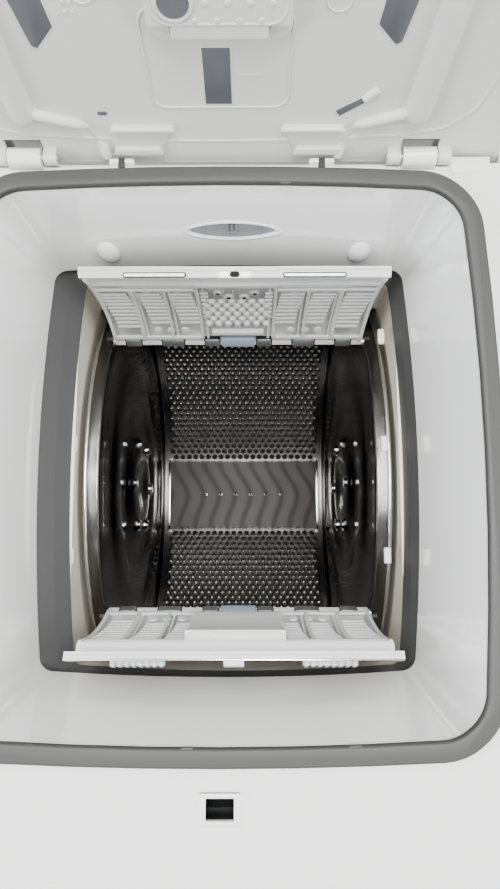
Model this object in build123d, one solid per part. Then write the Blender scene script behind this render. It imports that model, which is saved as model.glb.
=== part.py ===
from build123d import *

import math
import os

# Top load washing machine, 400 mm wide, with a drum that turns about a crosswise axis.
# Millimetres. X to the right, Y to the back, Z up; the origin is the middle of the footprint on the floor.

# ---------------------------------------------------------------- driving dimensions
CABINET_WIDTH = 400.0
CABINET_DEPTH = 600.0
PLATE_Z = 862.0  # upper face of the top plate
LID_TOP_Z = 900.0  # upper face of the shut lid
PANEL = 1.2  # sheet steel of the cabinet
PLASTIC = 2.5  # wall of the moulded covers
TOUCH_GAP = 0.3  # gap between moving or curved faces
PIN_PLAY = 0.05  # radial play of a pin or shaft in its bore

FOOT_HEIGHT = 20.0
FOOT_RADIUS = 18.0
FOOT_STUD_RADIUS = 5.0
FOOT_INSET_X = 40.0
FOOT_INSET_Y = 45.0
TRAY_FLOOR = 2.0
TRAY_RIM = 40.0
PLINTH_HEIGHT = 88.0
PLATE_THICK = 4.0
PLATE_SKIRT = 16.0
PLATE_EDGE_RADIUS = 3.5

DRUM_X = 7.0  # the drum hangs right of the middle, to leave room for its pulley
DRUM_Y = -25.0
DRUM_Z = 456.0
DRUM_RADIUS = 235.0
DRUM_SHEET = 1.0
DRUM_HALF = 144.0  # half the drum's width over its rims
RIM_WIDTH = 15.0
RIM_DEPTH = 7.0
DISC_SHEET = 1.2
DISC_INSET = 6.0  # from the rim's outer face to the end disc
HUB_RADIUS = 62.0
HUB_THICK = 5.0
SHAFT_RADIUS = 12.5
LIFTER_HEIGHT = 27.0
LIFTER_HALF = 118.0
LIFTER_BASE = 118.0
LIFTER_CREST = 105.0
LIFTER_ANGLES = (-90.0, 30.0, 150.0)

HINGE_RADIUS = DRUM_RADIUS - 4.5  # radius at which the flap hinge pins lie in the drum
HINGE_ANGLE = 36.6  # either side of straight up
PIN_RADIUS = 2.0
KNUCKLE_RADIUS = 3.0
FLAP_HALF = 125.0
FLAP_THICK = 13.4
FLAP_SKIN = 0.8
FLAP_LAP_ANGLE = 4.0  # how far each flap reaches past the middle
FLAP_STEP_ANGLE = 4.4
FLAP_NEAR_ANGLE = 1.6  # from the hinge pin to the flap's edge
REAR_FLAP_OPEN = 80.0
FRONT_FLAP_OPEN = 77.0
KNUCKLE_WIDTH = 14.0
KNUCKLE_PLACES = (-112.0, -76.0, -40.0, 40.0, 76.0, 112.0)
CLIP_WIDTH = 18.0
CLIP_PLACES = (-94.0, -58.0, 0.0, 58.0, 94.0)
SLOT_INNER = 39.0
SLOT_OUTER = 90.0
BUTTON_HALF = 22.0

TUB_RADIUS = 250.0
TUB_WALL = 4.0
TUB_HALF = 150.0
MOUTH_HALF_X = 145.5
MOUTH_HALF_Y = 176.0
MOUTH_TOP_Z = 716.0
BOSS_RADIUS = 34.0
BOSS_LENGTH = 22.0
BEARING_RADIUS = 26.0
BEARING_WIDTH = 15.0

WELL_BOTTOM_Z = 740.0
WELL_FRONT = -201.0
WELL_REAR = 153.5
WELL_HALF = 163.0
RING_FRONT = -214.7
RING_REAR = 158.1
RING_HALF = 174.0
RING_WIDTH = 12.0
RING_BULGE = 5.5
BARREL = 9.0  # how much narrower the opening is at its ends than in the middle
WELL_CORNER = 12.0
RING_CORNER = 26.0
WELL_WALL = 2.5
RIM_FLANGE = 1.5
RING_HEIGHT = 6.5

HINGE_Y = 178.0  # lid hinge axis
HINGE_Z = 866.0
LID_OPEN = 99.0
LID_HALF = CABINET_WIDTH / 2 - 4.6
LID_FRONT = -299.0
LID_REAR = 188.0
LID_UNDER_Z = 871.0
LID_PIN_RADIUS = 3.0
EAR_INNER = 126.0
EAR_OUTER = 149.0
EAR_RADIUS = 7.0
KNUCKLE_SWEEP = 6.0  # room round the lid's hinge knuckles
TROUGH_FRONT = 176.0
TROUGH_REAR = 214.0
TROUGH_DEPTH = 24.0

CONSOLE_FRONT = 216.0
CONSOLE_Z = 900.0
KNOB_RADIUS = 19.0
KNOB_HEIGHT = 15.0
KNOB_X = 120.0
KNOB_Y = 262.0
KEY_WIDTH = 18.0
KEY_DEPTH = 9.0
KEY_TRAVEL = 1.5
KEY_PLACES = (-40.0, -8.0, 24.0, 56.0)
DISPLAY_X = -120.0

PULLEY_RADIUS = 140.0
PULLEY_WIDTH = 14.0
MOTOR_PULLEY_RADIUS = 12.0
BELT_THICK = 3.0
MOTOR_Y = 60.0
MOTOR_Z = 120.0
MOTOR_RADIUS = 60.0

SPRING_RADIUS = 11.0
SPRING_OFFSET_Y = 200.0
SPRING_LOW_Z = 600.0
HANGER_Z = 800.0

LATCH_Y = -252.0
LATCH_SLOT = (18.0, 14.0)
LATCH_BEZEL = (25.0, 19.0)

DOOR_X = (50.0, 160.0)
DOOR_Z = (36.0, 98.0)
DOOR_PIN = 2.0  # radius of the filter door's hinge roll
FILTER_X = 105.0
FILTER_Z = 68.0
FILTER_RADIUS = 24.0
INLET_RADIUS = 13.2
INLET_X = 120.0
INLET_Z = 770.0
DRAIN_X = -120.0
DRAIN_RADIUS = 10.0

HALF_WIDTH = CABINET_WIDTH / 2
HALF_DEPTH = CABINET_DEPTH / 2
SKIRT_Z = PLATE_Z - PLATE_SKIRT


# ---------------------------------------------------------------- building blocks
def block(x0, x1, y0, y1, z0, z1):
    """A box between two corners."""
    return Pos((x0 + x1) / 2, (y0 + y1) / 2, (z0 + z1) / 2) * Box(x1 - x0, y1 - y0, z1 - z0)


def rod_x(x0, x1, y, z, radius):
    """A round bar along X."""
    return Pos((x0 + x1) / 2, y, z) * Rot(0, 90, 0) * Cylinder(radius, abs(x1 - x0))


def rod_y(y0, y1, x, z, radius):
    """A round bar along Y."""
    return Pos(x, (y0 + y1) / 2, z) * Rot(90, 0, 0) * Cylinder(radius, abs(y1 - y0))


def rod_z(z0, z1, x, y, radius):
    """A round bar along Z."""
    return Pos(x, y, (z0 + z1) / 2) * Cylinder(radius, abs(z1 - z0))


def ring_x(x0, x1, y, z, outer, inner):
    """A round tube along X."""
    return rod_x(x0, x1, y, z, outer) - rod_x(x0 - 1, x1 + 1, y, z, inner)


def polar(radius, angle, y=DRUM_Y, z=DRUM_Z):
    """Point in the Y-Z plane at a radius and an angle from +Y towards +Z."""
    turn = math.radians(angle)
    return (y + radius * math.cos(turn), z + radius * math.sin(turn))


def side_profile(points, x0, x1):
    """A prism along X over an outline of (y, z) points."""
    face = make_face(Polyline(*points, close=True))
    return extrude(Plane.YZ.offset(x0) * face, amount=x1 - x0)


def sector(x0, x1, inner, outer, start, end):
    """A piece of the drum's cylinder wall between two radii and two angles."""
    middle = (start + end) / 2
    outline = [
        ThreePointArc(polar(outer, start), polar(outer, middle), polar(outer, end)),
        Line(polar(outer, end), polar(inner, end)),
        ThreePointArc(polar(inner, end), polar(inner, middle), polar(inner, start)),
        Line(polar(inner, start), polar(outer, start)),
    ]
    face = make_face(outline)
    return extrude(Plane.YZ.offset(x0) * face, amount=x1 - x0)


def barrel_face(z, front, rear, half, corner, x=0.0):
    """The plan outline of the opening at one height: four bowed sides and round corners."""
    end_half = half - BARREL
    corners = [
        (x - end_half, front + RING_BULGE),
        (x + end_half, front + RING_BULGE),
        (x + end_half, rear - RING_BULGE),
        (x - end_half, rear - RING_BULGE),
    ]
    middles = [(x, front), (x + half, (front + rear) / 2), (x, rear), (x - half, (front + rear) / 2)]
    sides = []
    for index in range(4):
        sides.append(ThreePointArc(corners[index], middles[index], corners[(index + 1) % 4]))
    face = make_face(sides)
    return Pos(0, 0, z) * fillet(face.vertices(), corner)


def barrel_loft(low, high):
    """A solid between two plan outlines."""
    return loft([barrel_face(*low), barrel_face(*high)])


def rest_lid(shape):
    """Turn a piece of the shut lid about the lid hinge to the open lid."""
    turn = Axis((0, HINGE_Y, HINGE_Z), (1, 0, 0))
    return shape.rotate(turn, -LID_OPEN)


def hinge_point(side):
    """The flap hinge pin's (y, z), side +1 behind the middle and -1 in front of it."""
    return polar(HINGE_RADIUS, 90 - side * HINGE_ANGLE)


def rest_flap(shape, side):
    """Turn a piece of a shut drum flap about its pin to the open flap."""
    y, z = hinge_point(side)
    turn = Axis((0, y, z), (1, 0, 0))
    angle = -REAR_FLAP_OPEN if side > 0 else FRONT_FLAP_OPEN
    return shape.rotate(turn, angle)


def flap_sector(side, x0, x1, inner, outer, start, end):
    """A wall of a flap between two angles counted from the middle towards its hinge."""
    low, high = sorted((90 - side * start, 90 - side * end))
    return sector(DRUM_X + x0, DRUM_X + x1, inner, outer, low, high)


nodes = {}


def add(name, shape):
    """Keep a finished piece under its name."""
    nodes[name] = shape


# ---------------------------------------------------------------- cabinet
def build_foot(x, y, gap):
    """One foot: a round pad, its nut and the threaded stud that goes up into the tray."""
    pad = rod_z(0, 8, x, y, FOOT_RADIUS)
    pad = chamfer(pad.edges().group_by(Axis.Z)[0], 1.5)
    foot = pad + rod_z(8, FOOT_HEIGHT - gap, x, y, FOOT_STUD_RADIUS + 5)
    return foot + rod_z(FOOT_HEIGHT - gap, FOOT_HEIGHT + 30, x, y, FOOT_STUD_RADIUS)


def build_base():
    """The base tray with its foot bosses, and the four feet."""
    inner = HALF_WIDTH - PANEL
    back = HALF_DEPTH - PANEL
    top = FOOT_HEIGHT + TRAY_RIM
    tray = block(-inner, inner, -back + PANEL, back, FOOT_HEIGHT, top)
    tray -= block(-inner + 2, inner - 2, -back + PANEL + 2, back - 2, FOOT_HEIGHT + TRAY_FLOOR, top + 1)
    tray -= block(DOOR_X[0] - 6, DOOR_X[1] + 6, -back - 1, -back + 6, FOOT_HEIGHT + TRAY_FLOOR, top + 1)
    foot_x = HALF_WIDTH - FOOT_INSET_X
    foot_y = HALF_DEPTH - FOOT_INSET_Y
    for x in (-foot_x, foot_x):
        for y in (-foot_y, foot_y):
            tray += rod_z(FOOT_HEIGHT, FOOT_HEIGHT + 16, x, y, FOOT_STUD_RADIUS + 4)
            tray -= rod_z(FOOT_HEIGHT - 1, FOOT_HEIGHT + 17, x, y, FOOT_STUD_RADIUS + PIN_PLAY)
    add("base_tray", tray)

    add("foot_front_left", build_foot(-foot_x, -foot_y, TOUCH_GAP))
    add("foot_front_right", build_foot(foot_x, -foot_y, TOUCH_GAP))
    add("feet_rear", build_foot(-foot_x, foot_y, 0) + build_foot(foot_x, foot_y, 0))


def build_panels():
    """Side, front and rear panels, the plinth with its filter door, and the cable gland."""
    low = FOOT_HEIGHT
    sides = Part()
    for sign in (-1, 1):
        outer = sign * HALF_WIDTH
        inner = sign * (HALF_WIDTH - PANEL)
        x0, x1 = sorted((outer, inner))
        panel = block(x0, x1, -HALF_DEPTH, HALF_DEPTH, low, SKIRT_Z)
        f0, f1 = sorted((inner, inner - sign * 14))
        for y in (-HALF_DEPTH + PANEL, HALF_DEPTH - 2 * PANEL):
            panel += block(f0, f1, y, y + PANEL, low + TRAY_RIM, SKIRT_Z)
        for lug_side in (-1, 1):
            y = DRUM_Y + lug_side * SPRING_OFFSET_Y
            f0, f1 = sorted((inner, DRUM_X + sign * (TUB_END + 13) - sign * 6))
            panel += block(f0, f1, y - 14, y + 14, HANGER_Z, HANGER_Z + 4)
            f0, f1 = sorted((inner, inner - sign * 4))
            panel += block(f0, f1, y - 14, y + 14, HANGER_Z, HANGER_Z + 30)
        sides += panel
    add("side_panels", sides)

    inner = HALF_WIDTH - PANEL
    front = block(-inner, inner, -HALF_DEPTH, -HALF_DEPTH + PANEL, low + PLINTH_HEIGHT, SKIRT_Z)
    add("front_panel", front)

    flange = HALF_WIDTH - 16
    rim_z = low + TRAY_RIM
    plinth = block(-inner, inner, -HALF_DEPTH, -HALF_DEPTH + PANEL, low, low + PLINTH_HEIGHT)
    plinth += block(-inner, inner, -HALF_DEPTH + PANEL, -HALF_DEPTH + 2 * PANEL, low, rim_z)
    plinth += block(-flange, flange, -HALF_DEPTH + PANEL, -HALF_DEPTH + 2 * PANEL, rim_z, low + PLINTH_HEIGHT)
    plinth -= block(DOOR_X[0], DOOR_X[1], -HALF_DEPTH - 1, 0, DOOR_Z[0], DOOR_Z[1])
    pivot = (-HALF_DEPTH + DOOR_PIN, DOOR_Z[0] + DOOR_PIN + TOUCH_GAP)
    for x in (DOOR_X[0] - 6, DOOR_X[1]):
        plinth += block(x, x + 6, -HALF_DEPTH + PANEL, -HALF_DEPTH + 5, DOOR_Z[0] - 1, DOOR_Z[0] + 7)
    plinth -= rod_x(DOOR_X[0] - 3, DOOR_X[1] + 3, *pivot, DOOR_PIN - 0.5 + PIN_PLAY)
    add("plinth", plinth)

    gap = TOUCH_GAP
    door = block(
        DOOR_X[0] + gap, DOOR_X[1] - gap, -HALF_DEPTH, -HALF_DEPTH + PANEL, pivot[1], DOOR_Z[1] - gap
    )
    door += rod_x(DOOR_X[0] + gap, DOOR_X[1] - gap, *pivot, DOOR_PIN)
    door += rod_x(DOOR_X[0] - 2.7, DOOR_X[1] + 2.7, *pivot, DOOR_PIN - 0.5)
    add("filter_door", door)

    rear = block(-inner, inner, HALF_DEPTH - PANEL, HALF_DEPTH, low, SKIRT_Z)
    rear -= rod_y(HALF_DEPTH - 5, HALF_DEPTH + 5, INLET_X, INLET_Z, INLET_RADIUS + 11)
    rear -= rod_y(HALF_DEPTH - 5, HALF_DEPTH + 5, DRAIN_X, 120, DRAIN_RADIUS + 8)
    rear -= rod_y(HALF_DEPTH - 5, HALF_DEPTH + 5, DRAIN_X, INLET_Z, 8)
    for x in (-90, 90):
        for z in (200, 700):
            rear -= rod_y(HALF_DEPTH - 5, HALF_DEPTH + 5, x, z, 9)
    add("rear_panel", rear)

    gland = rod_y(HALF_DEPTH - 8, HALF_DEPTH - PANEL, DRAIN_X, INLET_Z, 11)
    gland += rod_y(HALF_DEPTH - PANEL, HALF_DEPTH, DRAIN_X, INLET_Z, 8)
    gland -= rod_y(HALF_DEPTH - 9, HALF_DEPTH + 1, DRAIN_X, INLET_Z, 4)
    add("mains_cable_gland", gland)


def build_top():
    """The top plate with its hinge trough, the well, the seal ring and the water nozzle."""
    low = PLATE_Z - PLATE_THICK
    trough = PLATE_Z - TROUGH_DEPTH
    plate = block(-HALF_WIDTH, HALF_WIDTH, -HALF_DEPTH, HALF_DEPTH, SKIRT_Z, PLATE_Z)
    plate = fillet(plate.edges().group_by(Axis.Z)[-1], PLATE_EDGE_RADIUS)
    wall = PLATE_THICK
    plate -= block(
        -HALF_WIDTH + wall, HALF_WIDTH - wall, -HALF_DEPTH + wall, TROUGH_FRONT - wall, SKIRT_Z - 1, low
    )
    plate -= block(
        -HALF_WIDTH + wall, HALF_WIDTH - wall, TROUGH_REAR + wall, HALF_DEPTH - wall, SKIRT_Z - 1, low
    )
    tray = block(
        -HALF_WIDTH + wall, HALF_WIDTH - wall, TROUGH_FRONT - wall, TROUGH_REAR + wall, trough - 3, low + 1
    )
    plate += tray
    plate -= block(-HALF_WIDTH + wall, HALF_WIDTH - wall, TROUGH_FRONT, TROUGH_REAR, trough, PLATE_Z + 1)
    hole = barrel_face(
        low - 1, RING_FRONT - 5, RING_REAR + 5, RING_HALF + 5, RING_CORNER + 5
    )
    plate -= extrude(hole, amount=PLATE_THICK + 2)
    slot_x, slot_y = (LATCH_BEZEL[0] / 2 - 2, LATCH_BEZEL[1] / 2 - 2)
    plate -= block(-slot_x, slot_x, LATCH_Y - slot_y, LATCH_Y + slot_y, low - 1, PLATE_Z + 1)
    plate -= rod_x(-EAR_OUTER - 12, EAR_OUTER + 12, HINGE_Y, HINGE_Z, KNUCKLE_SWEEP)
    for side in (-1, 1):
        x0, x1 = sorted((side * EAR_INNER, side * EAR_OUTER))
        ear = rod_x(x0, x1, HINGE_Y, HINGE_Z, EAR_RADIUS)
        ear += block(x0, x1, TROUGH_FRONT - wall, HINGE_Y + EAR_RADIUS, trough, HINGE_Z)
        ear -= rod_x(x0 - 1, x1 + 1, HINGE_Y, HINGE_Z, LID_PIN_RADIUS)
        plate += ear
    add("top_plate", plate)

    inner_top = (PLATE_Z, RING_FRONT, RING_REAR, RING_HALF, RING_CORNER)
    inner_low = (WELL_BOTTOM_Z, WELL_FRONT, WELL_REAR, WELL_HALF, WELL_CORNER)
    wall = WELL_WALL
    outer_top = (PLATE_Z, RING_FRONT - wall, RING_REAR + wall, RING_HALF + wall, RING_CORNER + wall)
    outer_low = (WELL_BOTTOM_Z, WELL_FRONT - wall, WELL_REAR + wall, WELL_HALF + wall, WELL_CORNER + wall)
    well = barrel_loft(outer_low, outer_top) - barrel_loft(inner_low, inner_top)
    ledge = extrude(
        barrel_face(PLATE_Z, RING_FRONT - 8, RING_REAR + 8, RING_HALF + 8, RING_CORNER + 8), amount=RIM_FLANGE
    )
    ledge -= extrude(barrel_face(PLATE_Z - 1, *inner_top[1:]), amount=RIM_FLANGE + 2)
    well += ledge
    well -= block(-32.5, 42.5, WELL_REAR - 8, RING_REAR + 14, 787, 816)
    add("well", well)

    ring_z = PLATE_Z + RIM_FLANGE
    outer = barrel_face(
        ring_z,
        RING_FRONT - RING_WIDTH,
        RING_REAR + RING_WIDTH,
        RING_HALF + RING_WIDTH,
        RING_CORNER + RING_WIDTH,
    )
    ring = extrude(outer, amount=RING_HEIGHT)
    ring -= extrude(barrel_face(ring_z - 1, *inner_top[1:]), amount=RING_HEIGHT + 2)
    groove_out = barrel_face(ring_z + 4, RING_FRONT - 8, RING_REAR + 8, RING_HALF + 8, RING_CORNER + 8)
    groove_in = barrel_face(ring_z + 4, RING_FRONT - 4, RING_REAR + 4, RING_HALF + 4, RING_CORNER + 4)
    ring -= extrude(groove_out, amount=RING_HEIGHT) - extrude(groove_in, amount=RING_HEIGHT)
    add("lid_seal", ring)

    nozzle = block(-32.2, 42.2, WELL_REAR + 4.6, WELL_REAR + 24, 787.3, 815.7)
    nozzle = fillet(nozzle.edges().filter_by(Axis.Y), 10)
    nozzle -= block(-24, 34, WELL_REAR - 1, WELL_REAR + 18, 793, 810)
    nozzle += rod_y(WELL_REAR + 24, WELL_REAR + 40, 5, 801.5, 8)
    nozzle -= rod_y(WELL_REAR + 10, WELL_REAR + 41, 5, 801.5, 5)
    add("water_nozzle", nozzle - nodes["well"])


def build_bellows():
    """The rubber bellows between the well and the tub's mouth: one fold."""
    middle = (WELL_BOTTOM_Z + MOUTH_TOP_Z) / 2
    mouth = (DRUM_Y - MOUTH_HALF_Y, DRUM_Y + MOUTH_HALF_Y, MOUTH_HALF_X)
    top = (WELL_BOTTOM_Z, WELL_FRONT - 1, WELL_REAR + 1, WELL_HALF + 1, WELL_CORNER, 0.0)
    waist = (middle, mouth[0] - 4, mouth[1] + 8, mouth[2] + 10, WELL_CORNER - 4, DRUM_X / 2)
    low = (MOUTH_TOP_Z, mouth[0], mouth[1], mouth[2] + 3, WELL_CORNER - 5, DRUM_X)

    def grown(plan, extra):
        z, front, rear, half, corner, x = plan
        return (z, front - extra, rear + extra, half + extra, corner + extra, x)

    skin = 2.0
    bellows = barrel_loft(grown(waist, skin), grown(top, skin)) - barrel_loft(waist, top)
    bellows += barrel_loft(grown(low, skin), grown(waist, skin)) - barrel_loft(low, waist)
    add("bellows", bellows)


# ---------------------------------------------------------------- tub
TUB_END = TUB_HALF + TUB_WALL
FLANGE_RADIUS = TUB_RADIUS + TUB_WALL + 8
SUMP_X = 75.0
HOSE_RADIUS = 16.0
DAMPER_PLACES = ((-110.0, -100.0), (150.0, -100.0))


def build_tub():
    """The two plastic tub halves with the mouth, bearing bosses, spring lugs and sump spigot."""
    outer = TUB_RADIUS + TUB_WALL
    shell = ring_x(DRUM_X - TUB_END, DRUM_X + TUB_END, DRUM_Y, DRUM_Z, outer, TUB_RADIUS)
    for side in (-1, 1):
        x0, x1 = sorted((DRUM_X + side * TUB_HALF, DRUM_X + side * TUB_END))
        shell += rod_x(x0, x1, DRUM_Y, DRUM_Z, outer)
    shell += ring_x(DRUM_X - 4, DRUM_X + 4, DRUM_Y, DRUM_Z, FLANGE_RADIUS, outer - 1)
    top = MOUTH_TOP_Z
    wall = 3.0
    collar = block(
        DRUM_X - MOUTH_HALF_X - wall,
        DRUM_X + MOUTH_HALF_X + wall,
        DRUM_Y - MOUTH_HALF_Y - wall,
        DRUM_Y + MOUTH_HALF_Y + wall,
        DRUM_Z + 150,
        top,
    )
    shell += collar - rod_x(DRUM_X - TUB_END - 1, DRUM_X + TUB_END + 1, DRUM_Y, DRUM_Z, TUB_RADIUS + 1)
    mouth = block(
        DRUM_X - MOUTH_HALF_X,
        DRUM_X + MOUTH_HALF_X,
        DRUM_Y - MOUTH_HALF_Y,
        DRUM_Y + MOUTH_HALF_Y,
        DRUM_Z + 100,
        top + 50,
    )
    shell -= mouth
    shell -= block(-250, 250, DRUM_Y - 300, DRUM_Y + 300, top, top + 60)
    for side in (-1, 1):
        end = DRUM_X + side * TUB_END
        x0, x1 = sorted((end - side, end + side * BOSS_LENGTH))
        shell += rod_x(x0, x1, DRUM_Y, DRUM_Z, BOSS_RADIUS)
        for lug_side in (-1, 1):
            y = DRUM_Y + lug_side * SPRING_OFFSET_Y
            x0, x1 = sorted((end - side, end + side * 26))
            shell += block(x0, x1, y - 9, y + 9, SPRING_LOW_Z - 28, SPRING_LOW_Z - 2)
    shell -= rod_x(DRUM_X - 250, DRUM_X + 250, DRUM_Y, DRUM_Z, BEARING_RADIUS)
    sump_top = DRUM_Z - TUB_RADIUS + 2
    shell += rod_z(180, sump_top - 3, SUMP_X, DRUM_Y, HOSE_RADIUS)
    shell -= rod_z(170, sump_top + 10, SUMP_X, DRUM_Y, 12)
    shell -= block(DRUM_X + TUB_HALF - 1, DRUM_X + TUB_END + 1, DRUM_Y - 24, DRUM_Y + 24, 208, 221)
    for x, y in DAMPER_PLACES:
        reach = math.sqrt(outer**2 - (y - DRUM_Y) ** 2)
        lug = block(x - 9, x + 9, y - 12, y + 12, DRUM_Z - reach - 12, DRUM_Z - reach + 25)
        shell += lug - rod_x(x - 10, x + 10, DRUM_Y, DRUM_Z, outer)
    for name, side in (("tub_left", -1), ("tub_right", 1)):
        x0, x1 = sorted((DRUM_X, DRUM_X + side * 250))
        add(name, shell & block(x0, x1, -400, 400, 100, 900))


def build_bearings():
    """A ball bearing and a shaft seal in each of the tub's end bosses."""
    units = Part()
    for side in (-1, 1):
        end = DRUM_X + side * (TUB_END + BOSS_LENGTH)
        x0, x1 = sorted((end, end - side * BEARING_WIDTH))
        bore = SHAFT_RADIUS + PIN_PLAY
        race = ring_x(x0, x1, DRUM_Y, DRUM_Z, BEARING_RADIUS, BEARING_RADIUS - 4)
        race += ring_x(x0, x1, DRUM_Y, DRUM_Z, bore + 3.5, bore)
        race += ring_x((x0 + x1) / 2 - 4, (x0 + x1) / 2 + 4, DRUM_Y, DRUM_Z, BEARING_RADIUS - 3, bore + 3)
        s0, s1 = sorted((end - side * (BEARING_WIDTH + 0.5), end - side * (BEARING_WIDTH + 8)))
        units += race + ring_x(s0, s1, DRUM_Y, DRUM_Z, BEARING_RADIUS, bore)
    add("bearings_and_seals", units)


def build_counterweights():
    """Concrete blocks that lie against the tub's lower front and rear."""
    outer = TUB_RADIUS + TUB_WALL
    clear = rod_x(-250, 250, DRUM_Y, DRUM_Z, outer)
    clear += rod_x(DRUM_X - 10, DRUM_X + 10, DRUM_Y, DRUM_Z, FLANGE_RADIUS + 1)
    front = block(DRUM_X - 95, DRUM_X + 120, DRUM_Y - 238, DRUM_Y - 150, 215, 330) - clear
    rear = block(DRUM_X - 120, DRUM_X + 120, DRUM_Y + 165, DRUM_Y + 262, 235, 350) - clear
    blocks = front.solids().sort_by(SortBy.VOLUME)[-1] + rear.solids().sort_by(SortBy.VOLUME)[-1]
    add("counterweights", blocks)


def build_suspension():
    """The tub's hanging springs and its telescopic dampers."""
    springs = Part()
    low = SPRING_LOW_Z
    for side in (-1, 1):
        x = DRUM_X + side * (TUB_END + 13)
        for lug_side in (-1, 1):
            y = DRUM_Y + lug_side * SPRING_OFFSET_Y
            coil = rod_z(low + 6, HANGER_Z - 6, x, y, SPRING_RADIUS)
            springs += coil + rod_z(low - 2, low + 6, x, y, 2.5) + rod_z(HANGER_Z - 6, HANGER_Z, x, y, 2.5)
    add("suspension_springs", springs)

    dampers = Part()
    floor = FOOT_HEIGHT + TRAY_FLOOR
    for x, y in DAMPER_PLACES:
        reach = math.sqrt((TUB_RADIUS + TUB_WALL) ** 2 - (y - DRUM_Y) ** 2)
        lug = DRUM_Z - reach - 12
        dampers += rod_z(floor, floor + 90, x, y, 12) - rod_z(floor + 10, floor + 91, x, y, 6.05)
        dampers += rod_z(floor + 40, lug, x, y, 6)
    add("tub_dampers", dampers)


def build_heater():
    """The tubular heater in the sump with its flange, and the temperature probe beside it."""
    end = DRUM_X + TUB_HALF
    z = 213.5
    flange = block(end, end + TUB_WALL, DRUM_Y - 24, DRUM_Y + 24, 208, 221)
    flange += block(end + TUB_WALL, end + TUB_WALL + 6, DRUM_Y - 27, DRUM_Y + 27, 205, 224)
    heater = flange - rod_x(end - 5, end + 30, DRUM_Y, z, 3.1)
    for y in (DRUM_Y - 16, DRUM_Y + 16):
        heater += rod_x(DRUM_X - 110, end + TUB_WALL + 16, y, z, 3.0)
    heater += block(DRUM_X - 113, DRUM_X - 108, DRUM_Y - 19, DRUM_Y + 19, z - 2.5, z + 2.5)
    probe = rod_x(end - 30, end + TUB_WALL + 14, DRUM_Y, z, 3.0)
    add("heater_and_probe", heater + probe)


# ---------------------------------------------------------------- drum
FLAP_SHELL_ANGLE = HINGE_ANGLE + 1.4


def lifter_prism(angle, foot, inset, half):
    """A lifter's tapered ridge along X, drawn in by an inset."""
    crest = foot - LIFTER_HEIGHT + inset
    base = LIFTER_BASE / 2 - inset
    tip = LIFTER_CREST / 2 - inset
    turn = math.radians(angle)
    outline = []
    for along, across in ((foot + 1, -base), (crest, -tip), (crest, tip), (foot + 1, base)):
        y = DRUM_Y + along * math.cos(turn) - across * math.sin(turn)
        z = DRUM_Z + along * math.sin(turn) + across * math.cos(turn)
        outline.append((y, z))
    return side_profile(outline, DRUM_X - half, DRUM_X + half)


def build_drum():
    """The drum shell with its opening, end discs with rims and hubs, lifters and stub shafts."""
    radius = DRUM_RADIUS
    rim_in = DRUM_HALF - RIM_WIDTH
    start = 90 + FLAP_SHELL_ANGLE
    end = 450 - FLAP_SHELL_ANGLE
    shell = sector(DRUM_X - rim_in, DRUM_X + rim_in, radius - DRUM_SHEET, radius, start, end)
    add("drum_shell", shell)

    ends = Part()
    for side in (-1, 1):
        outer = DRUM_X + side * DRUM_HALF
        inner = DRUM_X + side * rim_in
        x0, x1 = sorted((outer, inner))
        disc = ring_x(x0, x1, DRUM_Y, DRUM_Z, radius, radius - RIM_DEPTH)
        edges = disc.edges().filter_by(GeomType.CIRCLE).filter_by(lambda e: abs(e.radius - radius) < 0.1)
        disc = fillet(edges, 2.5)
        face = outer - side * DISC_INSET
        x0, x1 = sorted((face, face - side * DISC_SHEET))
        disc += rod_x(x0, x1, DRUM_Y, DRUM_Z, radius - RIM_DEPTH + 1)
        x0, x1 = sorted((face - side * DISC_SHEET, face + side * HUB_THICK))
        disc += rod_x(x0, x1, DRUM_Y, DRUM_Z, HUB_RADIUS)
        disc -= rod_x(x0 - 1, x1 + 1, DRUM_Y, DRUM_Z, SHAFT_RADIUS)
        for pin_side in (-1, 1):
            y, z = hinge_point(pin_side)
            x0, x1 = sorted((inner - side, inner + side * 6))
            disc -= rod_x(x0, x1, y, z, PIN_RADIUS)
        ends += disc
    add("drum_ends", ends)

    lifters = Part()
    foot = radius - DRUM_SHEET
    sheet = 1.5
    for angle in LIFTER_ANGLES:
        outer = lifter_prism(angle, foot, 0, LIFTER_HALF)
        hollow = lifter_prism(angle, foot, sheet, LIFTER_HALF - sheet)
        lifter = outer - hollow
        lifters += lifter & rod_x(DRUM_X - 130, DRUM_X + 130, DRUM_Y, DRUM_Z, foot)
    add("lifters", lifters)

    face = DRUM_HALF - DISC_INSET - DISC_SHEET
    boss = TUB_END + BOSS_LENGTH
    shafts = rod_x(DRUM_X - boss - 22, DRUM_X - face, DRUM_Y, DRUM_Z, SHAFT_RADIUS)
    shafts += rod_x(DRUM_X + face, DRUM_X + boss + 4, DRUM_Y, DRUM_Z, SHAFT_RADIUS)
    add("stub_shafts", shafts)


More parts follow.
